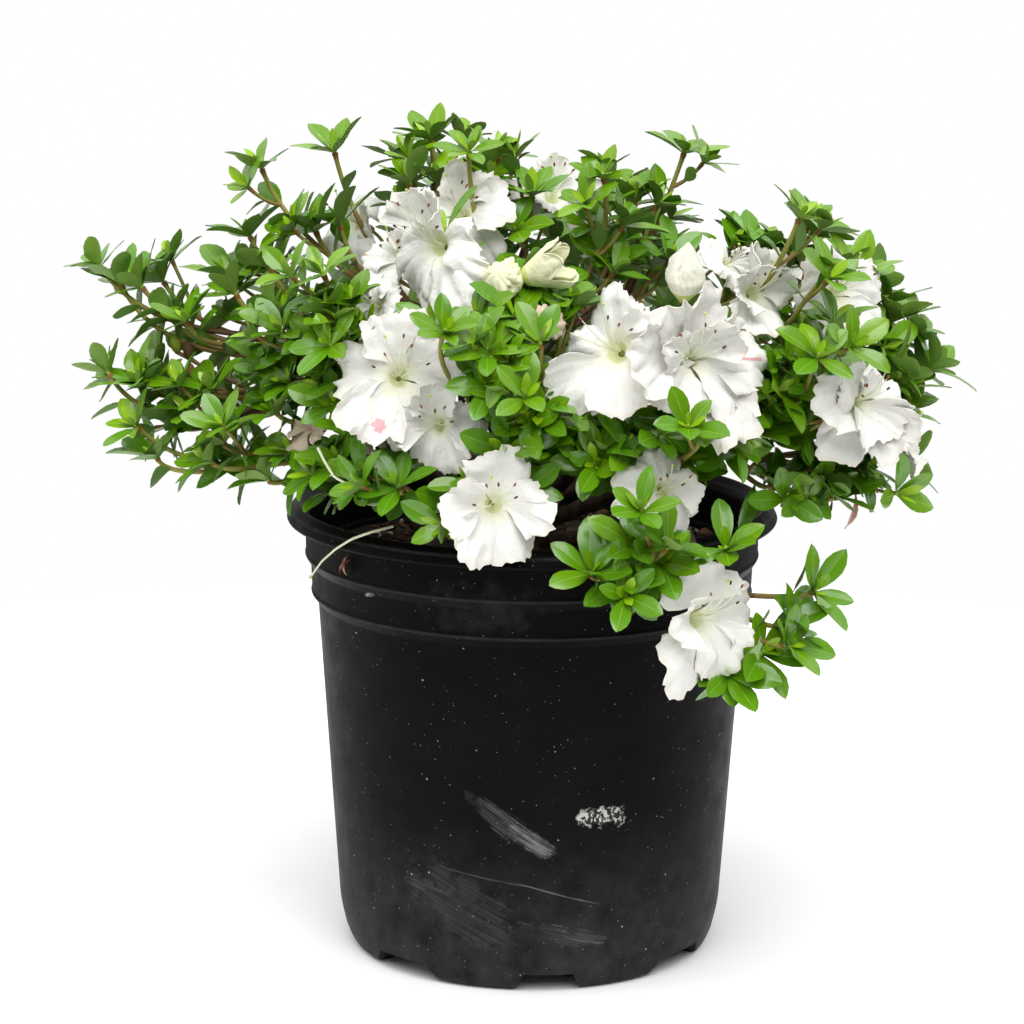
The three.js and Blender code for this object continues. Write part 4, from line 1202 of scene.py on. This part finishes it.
def growSideTwigs(points, out, ageAndPaintedShade, draw, full):
    length = float(np.sum(np.linalg.norm(np.diff(points, axis=0), axis=1)))
    every, most = twigShape["perShoot"]
    count = int(min(most, length / every) * full + draw())
    turn = draw() * 2 * math.pi
    for i in range(count):
        share = twigShape["from"] + (twigShape["to"] - twigShape["from"]) * (i + draw()) / count
        start = pointOn(points, share)
        along = headingOn(points, share)
        side = squareTo(along)
        other = np.cross(along, side)
        low, high = twigShape["spread"]
        open_ = math.radians(low + (high - low) * draw())
        leave = tilted(along, side, other, turn + i * 2 * math.pi * goldenShare, open_)
        heading = unit(leave * 0.8 + out * 0.4 + up * 0.6)
        size = twigShape["length"][0] + (twigShape["length"][1] - twigShape["length"][0]) * draw()
        tip = start + unit(leave + heading) * size
        path = twigPath(start, start + leave * size * 0.5, tip)
        if inFlower(path[1:], -0.45, 1.1) or inPot(path[1:]) or hangsBare(tip) or overEdge(tip):
            continue
        tipHeading = headingOn(path, 1)
        whorlSide = squareTo(tipHeading)
        whorlOther = np.cross(tipHeading, whorlSide)
        whorl = []
        spin = draw() * 2 * math.pi
        for k in range(twigShape["whorl"]):
            angle = spin + 2 * math.pi * (k + 0.3 * draw()) / twigShape["whorl"]
            open_ = math.radians(34 + 36 * draw())
            whorl.append((tilted(tipHeading, whorlSide, whorlOther, angle, open_),
                          twigShape["leafLength"] * (0.72 + 0.36 * draw()) * leafScale(tip)))
        growTwig(path, twigShape["radius"], 0.55, 0.0)
        addRosette(tip, tipHeading, twigShape["radius"][1], whorl, paintedShadeAt(tip), draw)
        leavesAlong(path, ageAndPaintedShade + 0.15, draw, full, 0.85)


def inPot(points):
    reach = np.hypot(points[:, 0], points[:, 1])
    wall = (points[:, 2] < rimTop + 0.8) & (reach < rimReach + 1) & (reach > 114)
    return bool(np.any(wall | ((points[:, 2] < soilTop + 1.5) & (reach <= 114))))


bloomSpaces = bloomPlaces()
stems = {}
for name, limb in limbs.items():
    carried = [one for one, mass in sprays.items() if mass["on"] == name]
    for one, root in (stemRoots(limb, carried) if carried else {}).items():
        stems[one] = growSpray(one, sprays[one], root, limb, 101 + list(sprays).index(one))


# buds at the ends of short twigs: the spray that carries one, its place and its shade
twigBuds = [
    ("left_middle_spray", (-90, 188, 323), greenBud), ("left_middle_spray", (-88, 186, 310), youngWood),
    ("left_middle_spray", (-88, 180, 309), redBase), ("left_middle_spray", (-89, 181, 320), brownWood),
]
for name, place, shade in twigBuds:
    tip = at(*place)
    root = pointOn(stems[name], 0.85)
    path = twigPath(root, (root + tip) / 2 - up * 6, tip - up * 4)
    growTwig(path, (1.2, 1.0), 0.9, 0.5)
    addBall(twigs, tip, unit(up + 0.2 * facing(place[0], 0)), 5.2, 3.1, shade, 9, 7)

print("grew", len(rosettes), "rosettes and", len(leaves), "leaves")


# the blooms: ruffled funnels of five overlapping lobes, with filaments and a style

bloomShape = {
    "lobes": 5, "columns": 36, "rows": 18, "throat": 0.26, "tubeDepth": 0.46, "thickness": 0.5,
    "lobeTurn": 37, "overlap": 15,
    "sizeShare": (0.74, 0.5), "lean": 0.95, "roll": 0.7, "curl": 0.5,
    "waves": (0.15, 0.15, 0.06),  # slow, middling and quick waves of a lobe, in shares of the radius
    "ragged": (0.12, 0.07, 0.06),  # how far the margin goes in and out, slow to quick
    "droop": 0.14, "crease": 0.012, "crumple": (3.0, 1.5), "stamens": 5,
    "doubled": (9, 12, 13), "innerLobes": 4, "innerSize": 0.7,  # these blooms have inner petals too
}
petalShades = ["whitePetal", "creamPetal", "greenThroat", "warmPetalEdge", "pinkPetalStreak",
               "witheredPetal", "budCream", "budGreenBase"]
whitePetal, creamPetal, greenThroat, warmEdge, pinkStreak, withered, budCream, budGreen = range(8)
fineShades = ["paleFilament", "darkAnther", "brownAnther", "greenStigma"]
# bloom by its order, its lobe, and where on the lobe the pink lies: across, out, half sizes of both
pinkMarks = {9: (0, -0.3, 0.62, 0.035, 0.22), 5: (3, 0.3, 0.6, 0.16, 0.1)}

# dropped styles that lie over the rim and in the leaves: bearing, reach and height along each
fallenStyles = [
    [(-36, 120, 246.5), (-38.7, 129.5, 244.6), (-44, 131.3, 239.5), (-49.4, 131.5, 232.3),
     (-55, 131.3, 223.5), (-60.7, 130.8, 212.5)],
    [(-43.5, 156, 290), (-42.2, 155, 283.6), (-40, 154, 276), (-36, 151, 271.5), (-31.9, 147, 271)],
]

petals, fineParts = Pile(), Pile()


def petalShell(front, normals, thickness, shades):
    # a thin closed shell from a grid of front points: rows x columns x 3
    rows, columns = front.shape[:2]
    thin = thickness * np.ones((rows, columns, 1))
    back = front - normals * thin
    faces = gridFaces(rows, columns)
    count = rows * columns
    edge = np.concatenate([np.arange(columns), columns * np.arange(1, rows) + columns - 1,
                           (rows - 1) * columns + np.arange(columns - 2, -1, -1),
                           columns * np.arange(rows - 2, 0, -1)])
    after = np.roll(edge, -1)
    rim = np.stack([edge, edge + count, after + count, after], axis=-1)
    rimRow = np.minimum(edge // columns, rows - 2)
    rimColumn = np.minimum(edge % columns, columns - 2)
    everything = np.concatenate([faces, faces[:, ::-1] + count, rim])
    table = shades.reshape(rows - 1, columns - 1)
    petals.add(np.concatenate([front.reshape(-1, 3), back.reshape(-1, 3)]), everything,
               np.concatenate([shades, shades, table[rimRow, rimColumn]]))


def gridNormals(grid):
    alongRows = np.gradient(grid, axis=0)
    alongColumns = np.gradient(grid, axis=1)
    normals = np.cross(alongColumns, alongRows)
    return normals / np.maximum(np.linalg.norm(normals, axis=2, keepdims=True), 1e-9)


def noiseOf(x, y, layer):
    # smooth noise at each pair of x and y, about -0.5 to 0.5
    pairs = np.stack([x.ravel(), y.ravel()], axis=-1)
    return np.array([noise.noise(Vector((a, b, layer))) for a, b in pairs]).reshape(x.shape)


def noiseOver(grid, scale, layer):
    points = grid.reshape(-1, 3) * scale + layer
    return np.array([noise.noise(Vector(point)) for point in points]).reshape(grid.shape[:2])


def addLobe(centre, frameAxes, radius, order, draw, mark=None, shade=None, inner=False):
    axis, side, other = frameAxes
    rows, columns = bloomShape["rows"], bloomShape["columns"]
    u, v = np.meshgrid(np.linspace(-1, 1, columns), np.linspace(0, 1, rows))
    throat = bloomShape["throat"]
    tube = np.clip(v / throat, 0, 1)
    blade = np.clip((v - throat) / (1 - throat), 0, 1)
    layer = 40 * draw()
    size = bloomShape["sizeShare"][0] + bloomShape["sizeShare"][1] * draw()
    lean = bloomShape["lean"] * (draw() - (0.3 if inner else 0.55))
    roll = bloomShape["roll"] * (draw() - 0.5)
    curl = bloomShape["curl"] * (draw() - 0.55)
    phase = 2 * math.pi * draw()
    edge = np.linspace(-1, 1, columns)
    ragged = sum(share * noiseOf(edge * rate, edge * 0, layer + k)
                 for k, (share, rate) in enumerate(zip(bloomShape["ragged"], (2.1, 5.5, 15))))
    outline = (1 - 0.5 * np.abs(u) ** 2.3) * (1 + 2 * ragged[None] * blade)
    reach = radius * (0.06 + 0.15 * tube ** 0.9 + 0.82 * size * outline * blade ** 0.9)
    reach = reach * (1 - 0.16 * abs(lean) * blade)
    turn = np.radians(bloomShape["lobeTurn"] + bloomShape["overlap"] * smoothStep(0.0, 0.6, blade))
    middle = 2 * math.pi * (order + 0.25) / bloomShape["lobes"] + 0.24 * (draw() - 0.5)
    angle = middle + u * turn + 0.14 * blade ** 2 * noiseOf(u * 3, blade * 2, layer + 5)
    depth = bloomShape["tubeDepth"]
    lift = -depth + (depth - 0.22) * tube + 0.27 * np.sin(blade * math.pi * 0.6)
    lift = lift + lean * blade ** 1.4 + (roll * u + curl * u ** 2) * blade
    lift = lift - 0.035 * np.exp(-(u / 0.2) ** 2) * smoothStep(0, 0.3, blade) * (1 - 0.7 * blade)
    slow, middling, quick = bloomShape["waves"]
    lift = lift + slow * blade ** 1.2 * np.sin(3.4 * u + phase + 1.5 * blade)
    lift = lift + middling * blade ** 1.6 * noiseOf(u * 3.2, blade * 1.4, layer + 9)
    lift = lift + quick * blade ** 2.5 * noiseOf(u * 11, blade * 2.5, layer + 13)
    lift = lift + bloomShape["crease"] * smoothStep(0, 0.35, blade) * noiseOf(u * 9, blade * 0.7, layer + 17)
    grid = (centre + reach[..., None] * (np.cos(angle)[..., None] * side + np.sin(angle)[..., None] * other)
            + (lift * radius)[..., None] * axis)
    coarse, fine = bloomShape["crumple"]
    rough = blade * (coarse * noiseOver(grid, 0.13, layer) + fine * noiseOver(grid, 0.4, layer + 7) * blade)
    grid = grid + (rough * radius / 32)[..., None] * axis
    grid[..., 2] -= bloomShape["droop"] * radius * blade ** 2
    rowShade = np.select([v[:-1, :-1] < 0.16, v[:-1, :-1] < 0.34, v[:-1, :-1] < 0.93],
                         [greenThroat, creamPetal, whitePetal], warmEdge)
    if mark:
        _, across, out, wide, long_ = mark
        near = ((u[:-1, :-1] - across) / wide) ** 2 + ((blade[:-1, :-1] - out) / long_) ** 2 < 1
        rowShade[near] = pinkStreak
    if shade is not None:
        rowShade[:] = shade
    petalShell(grid, gridNormals(grid), bloomShape["thickness"], rowShade.reshape(-1))


def flowerFrame(faceBearing, tilt):
    axis = facing(faceBearing, tilt)
    side = squareTo(axis)
    return axis, side, np.cross(axis, side)


def addBloom(bloom, order, stem, draw):
    bearing, reach, height, faceBearing, tilt, radius = bloom
    centre = at(bearing, reach, height)
    axes = flowerFrame(faceBearing, tilt)
    mark = pinkMarks.get(order)
    for lobe in range(bloomShape["lobes"]):
        addLobe(centre, axes, radius, lobe, draw, mark if mark and mark[0] == lobe else None)
    if order in bloomShape["doubled"]:
        for lobe in range(bloomShape["innerLobes"]):
            addLobe(centre + axes[0] * 0.06 * radius, axes, radius * bloomShape["innerSize"],
                    1.25 * lobe + 0.5, draw, inner=True)
    addStamens(centre, axes, radius, draw)
    base = centre - axes[0] * bloomShape["tubeDepth"] * radius
    root = pointOn(stem, 0.9)
    control = base - axes[0] * 0.5 * distance(root, base)
    path = twigPath(root, control, base)
    count = len(path)
    addTube(twigs, path, np.linspace(1.0, 0.9, count), 6,
            np.where(np.linspace(0, 1, count - 1) < 0.5, tanWood, youngWood))
    addBall(twigs, base - axes[0] * 2.7, axes[0], 3.2, 2.6, youngWood, 7, 4)


def addStamens(centre, axes, radius, draw):
    axis, side, other = axes
    throat = centre - axis * 0.3 * radius
    lean = 0.35 + 0.2 * draw()
    for i in range(bloomShape["stamens"] + 1):
        style = i == bloomShape["stamens"]
        angle = math.radians(90 + (-62 + 31 * i if not style else 8) + 24 * (draw() - 0.5))
        away = side * math.cos(angle) + other * math.sin(angle)
        length = radius * (1.15 if style else 0.62 + 0.42 * draw())
        start = throat + away * 0.04 * radius
        end = throat + axis * length * 0.78 + away * length * (lean + 0.12 * draw())
        control = throat + axis * length * 0.55 + away * length * 0.1
        path = curvePoints(start, control, end, 12)
        addTube(fineParts, path, np.linspace(0.4, 0.28, 12), 5, 0)
        heading = unit(path[-1] - path[-2])
        if style:
            addBall(fineParts, end + heading * 0.5, heading, 0.8, 0.9, 3, 6, 4)
        else:
            addBall(fineParts, end + heading * 0.6, unit(heading + away), 1.25, 0.62, 1 + i % 2, 6, 4)


# each kind of closed flower: where it is widest, how far its petals wrap, how lumpy it is, and its mouth
budKinds = {
    "halfOpen": {"profile": ((0, 0.12), (0.12, 0.4), (0.4, 0.66), (0.75, 0.9), (1, 1.0)), "points": 5,
                 "point": 0.42, "wrap": 0.08, "lump": 0.06},
    "roundBud": {"profile": ((0, 0.2), (0.2, 0.78), (0.5, 1.0), (0.8, 0.84), (0.95, 0.4), (1, 0)),
                 "points": 3, "point": 0, "wrap": 0.08, "lump": 0.26},
    "pointedBud": {"profile": ((0, 0.2), (0.2, 0.75), (0.38, 1.0), (0.64, 0.74), (0.85, 0.36), (1, 0.02)),
                   "points": 4, "point": 0.05, "wrap": 0.34, "lump": 0.1},
}


def addBud(bud, draw):
    # petals wrapped round each other: a rolled sheet whose mouth has a point for every petal
    kind = budKinds[bud["kind"]]
    centre, axes = at(*bud["place"]), flowerFrame(*bud["faces"])
    length, radius = bud["length"], bud["radius"]
    for layer, share in enumerate((1.0, 0.78)):
        rows, columns = 26, 64
        v, turn = np.meshgrid(np.linspace(0, 1, rows), np.linspace(0, 1, columns), indexing="ij")
        angle = 2 * math.pi * 1.06 * turn + layer * 0.9
        wave = np.abs(np.sin(angle * kind["points"] / 2 + 0.4)) ** 0.7
        body = np.interp(v, *zip(*kind["profile"])) * share
        fold = ((kind["points"] * angle / (2 * math.pi) + 0.5 * v) % 1) ** 2
        body = body * (1 + kind["wrap"] * fold * smoothStep(0.05, 0.6, v) + 0.06 * turn)
        rough = noiseOf(angle * 2.2, v * 3.5, 5 * layer + radius) + 0.7 * noiseOf(angle * 6, v * 8, radius)
        body = body * (1 + kind["lump"] * 2 * v * rough)
        ahead = v * (1 - kind["point"] * (1 - wave) * v ** 2)
        grid = (centre + (body * radius)[..., None] * (np.cos(angle)[..., None] * axes[1]
                                                      + np.sin(angle)[..., None] * axes[2])
                + ((ahead - 0.5) * length)[..., None] * axes[0])
        main = creamPetal if bud["kind"] == "pointedBud" else budCream
        shades = np.select([v[:-1, :-1] < 0.2, v[:-1, :-1] > 0.97], [budGreen, warmEdge], main)
        petalShell(grid, gridNormals(grid), -0.45, shades.reshape(-1))
    foot = centre - axes[0] * 0.5 * length
    addBall(twigs, foot, axes[0], 2.6, 0.3 * radius, youngWood, 8, 5)


def makeBlooms():
    draw = seededRandom(77)
    order = 0
    for name, mass in sprays.items():
        for bloom in [*mass["blooms"], *moreBlooms.get(name, [])]:
            addBloom(bloom, order, stems[name], draw)
            order += 1
    for bud in budsAndSpent:
        if bud["kind"] == "spent":
            for lobe in range(4):
                addLobe(at(*bud["place"]), flowerFrame(*bud["faces"]), bud["radius"], lobe, draw,
                        shade=withered)
        else:
            addBud(bud, draw)
    colours = {"whitePetal": "efeee9", "creamPetal": "f1f1e0", "greenThroat": "e3e8ba",
               "warmPetalEdge": "ece8dd", "pinkPetalStreak": "ecb3b9", "witheredPetal": "d6c3ae",
               "budCream": "ebebc6", "budGreenBase": "cfdb86"}
    finishes = []
    for name in petalShades:
        petal = Finish(name, colours[name], 0.62, **{"Specular IOR Level": 0.3})
        wrinkle = petal.maths("ADD", petal.noise(420, 4, 0.65), petal.noise(130, 2))
        finishes.append(petal.relief(wrinkle, 0.001, 0.55).material)
    splitAndMake("white_blooms", petals, finishes, 65)
    for places in fallenStyles:
        path = finer(np.array([at(*place) for place in places]), 2.5)
        addTube(fineParts, path, np.linspace(0.7, 0.5, len(path)), 6, 0)
        addBall(fineParts, path[-1], unit(path[-1] - path[-2]), 1.2, 1.0, 3, 6, 4)
    fine = []
    for name, colour in zip(fineShades, ("e4e8c8", "4a2418", "8a4a2a", "b9cf62")):
        part = Finish(name, colour, 0.5)
        fine.append(part.relief(part.noise(2200, 2), 0.0001, 0.4).material)
    makePiece("stamens_and_styles", fineParts, fine)


def splitAndMake(name, pile, finishes, sharpest, most=190000):
    # one kind of thing as several pieces, each within the size that one piece may have
    part, number = Pile(), 1
    for points, faces, finish in zip(*regrouped(pile)):
        if part.triangles() + len(faces) * (faces.shape[1] - 2) > most:
            makePiece(f"{name}_{number}", part, finishes, sharpest=sharpest)
            part, number = Pile(), number + 1
        part.add(points, faces, finish)
    makePiece(f"{name}_{number}", part, finishes, sharpest=sharpest)


def regrouped(pile):
    # each body's points with its own faces counted from nought again
    points, faces, finishes, start = [], [], [], 0
    for body, group, finish in zip(pile.points, pile.faces, pile.finishes):
        points.append(body)
        faces.append(group - start)
        finishes.append(finish)
        start += len(body)
    return points, faces, finishes


makeBlooms()
print("the blooms are open")


# the leaves: obovate, folded along a pale rib, arched, with a fine point

leafShape = {
    "rows": (0.0, 0.1, 0.26, 0.44, 0.62, 0.79, 0.93, 1.0),
    "columns": (-1, -0.55, -0.07, 0.07, 0.55, 1),
    "halfWidth": 0.222, "stalk": 0.022, "thickness": 0.4, "cup": 0.3,
    "roots": (1.15, 0.8),  # how the outline swells from the base and closes at the tip
}
# from this year's growth to old leaves; the darker ones also stand for painted shade deep in the crown; each
# has its rib and its underside
leafShades = {
    "limeLeaf": {"top": "8fb812", "rib": "a2c436", "under": "9aba46"},
    "freshLeaf": {"top": "76a20c", "rib": "88b02a", "under": "88a842"},
    "brightLeaf": {"top": "64930a", "rib": "76a226", "under": "7a9d42"},
    "midLeaf": {"top": "5a8f09", "rib": "6c9e24", "under": "70963e"},
    "deepLeaf": {"top": "51860a", "rib": "629426", "under": "688f3e"},
    "oldLeaf": {"top": "487b0b", "rib": "598926", "under": "60873a"},
    "witheredLeaf": {"top": "8c4c1e", "rib": "a0602c", "under": "7c4420"},
}
witheredShade = 6
# withered leaves and a scrap: place of the root, direction, length, width
witheredLeaves = [
    ((-51, 121.6, 227), (-0.5, -0.1, -1), 11, 1.0), ((-50, 121.6, 225), (-0.9, -0.1, -0.5), 10, 0.9),
    ((63, 166, 264), (0.1, -0.1, -1), 20, 0.9), ((64.5, 168, 262), (0.3, 0, -1), 16, 1.1),
    ((70, 176, 258), (0.1, -0.1, -1), 22, 0.7), ((61, 162, 266), (-0.3, -0.2, -1), 14, 0.9),
    ((-16, 31, 424), (0.4, -0.3, 0.8), 9, 1.3), ((-20, 30, 424), (-0.6, -0.2, 0.5), 8, 1.2),
]


def leafOutline(t):
    swell, close = leafShape["roots"]
    peak = swell / (swell + close)
    full = (t / peak) ** swell * np.clip((1 - t) / (1 - peak), 0, None) ** close
    return np.maximum(full, leafShape["stalk"] / leafShape["halfWidth"] * (1 - t))


def leafGrid():
    t = np.array(leafShape["rows"])
    u = np.array(leafShape["columns"], float)
    return t, u, leafOutline(t)


def leafPoints(leaf):
    # top grid, then the underside's middle line; the margins are shared
    t, u, width = leafGrid()
    root, direction, side = leaf["root"], leaf["direction"], leaf["side"]
    top = np.cross(direction, side)
    bend, length = leaf["bend"], leaf["length"]
    forward = np.sin(bend * t) / bend
    fall = (1 - np.cos(bend * t)) / bend
    half = leafShape["halfWidth"] * leaf["width"] * width
    lift = half[:, None] * (leaf["fold"] * 1.6 * np.abs(u) - leafShape["cup"] * u ** 2)
    lift = lift + 0.012 * np.sin(9 * t + leaf["twist"] * 20)[:, None] * np.abs(u) * np.sign(u)
    across = half[:, None] * u
    roll = leaf["twist"] * t[:, None]
    turned = across * np.cos(roll) - lift * np.sin(roll)
    raised = across * np.sin(roll) + lift * np.cos(roll)
    slope = bend * t
    ahead = direction[None] * np.cos(slope)[:, None] - top[None] * np.sin(slope)[:, None]
    above = direction[None] * np.sin(slope)[:, None] + top[None] * np.cos(slope)[:, None]
    spine = root + length * (forward[:, None] * direction - fall[:, None] * top)
    grid = (spine[:, None] + length * turned[..., None] * side + length * raised[..., None] * above[:, None])
    thick = leafShape["thickness"] * (0.5 + 0.5 * np.sqrt(np.clip(width, 0, 1)))
    middle = (grid[:, 2] + grid[:, 3]) / 2 - above * thick[:, None]
    return grid, middle


def leafFaces():
    rows, columns = len(leafShape["rows"]), len(leafShape["columns"])
    top = gridFaces(rows, columns)
    kinds = np.tile([0, 0, 1, 0, 0], rows - 1)
    left = np.arange(rows) * columns
    right_ = left + columns - 1
    middle = rows * columns + np.arange(rows)
    under = np.concatenate([np.stack([left[1:], middle[1:], middle[:-1], left[:-1]], -1),
                            np.stack([middle[1:], right_[1:], right_[:-1], middle[:-1]], -1)])
    return np.concatenate([top, under]), np.concatenate([kinds, np.full(len(under), 2)])


def inTheWay(grid, hangs):
    # a leaf that runs through a flower or the pot is left off, and so is one that would hang past
    # the rim away from the hanging bough
    points = grid.reshape(-1, 3)
    lowest = points[np.argmin(points[:, 2])]
    bearing = math.degrees(math.atan2(lowest[0], -lowest[1]))
    if not hangs and lowest[2] < lowestLeaf and not lowFront[0] < bearing < lowFront[1]:
        return True
    return inPot(points) or inFlower(points, -0.32, 0.34) or inFlower(points[-1:], -0.3, 1.6, 0.5)


def makeLeaves():
    faces, kinds = leafFaces()
    pile = Pile()
    left = 0
    draw = seededRandom(909)
    for place, direction, length, width in witheredLeaves:
        direction = unit(np.array(direction))
        addLeaf(at(*place), up, direction, length, witheredShade, width, 0.9, draw)
        grid, middle = leafPoints(leaves.pop())
        pile.add(np.concatenate([grid.reshape(-1, 3), middle]), faces, witheredShade * 3 + kinds)
    for leaf in leaves:
        grid, middle = leafPoints(leaf)
        if inTheWay(grid, leaf["hangs"]):
            left += 1
            continue
        pile.add(np.concatenate([grid.reshape(-1, 3), middle]), faces, leaf["shade"] * 3 + kinds)
    print("left off", left, "leaves that met a flower or the pot")
    finishes = []
    for name, colours in leafShades.items():
        for part, colour in colours.items():
            roughness = {"top": 0.25, "rib": 0.34, "under": 0.6}[part]
            finish = Finish(name + part.capitalize(), colour, roughness, **{"Specular IOR Level": 0.62})
            veins = finish.maths("ADD", finish.noise(700, 3), finish.noise(230, 2))
            finishes.append(finish.relief(veins, 0.00018, 0.35).material)
    splitAndMake("leaves", pile, finishes, 60)


makeLeaves()


def makeTwigs():
    colours = {"oldTwigBark": "42301f", "brownTwigBark": "6b512e", "tanTwigBark": "8d7639",
               "youngTwigBark": "94903f", "redWhorlBase": "90632c", "leafBud": "9fb43a"}
    finishes = []
    for name in twigShades:
        bark = Finish(name, colours[name], 0.65)
        grain = bark.noise(520, 4, 0.6, bark.stretched((1, 1, 0.5)))
        finishes.append(bark.relief(grain, 0.0003, 0.6).material)
    everySpray = list(sprays)
    makePiece("twigs", twigs, finishes, everySpray, 60)


makeTwigs()
print("twigs and leaves are on")
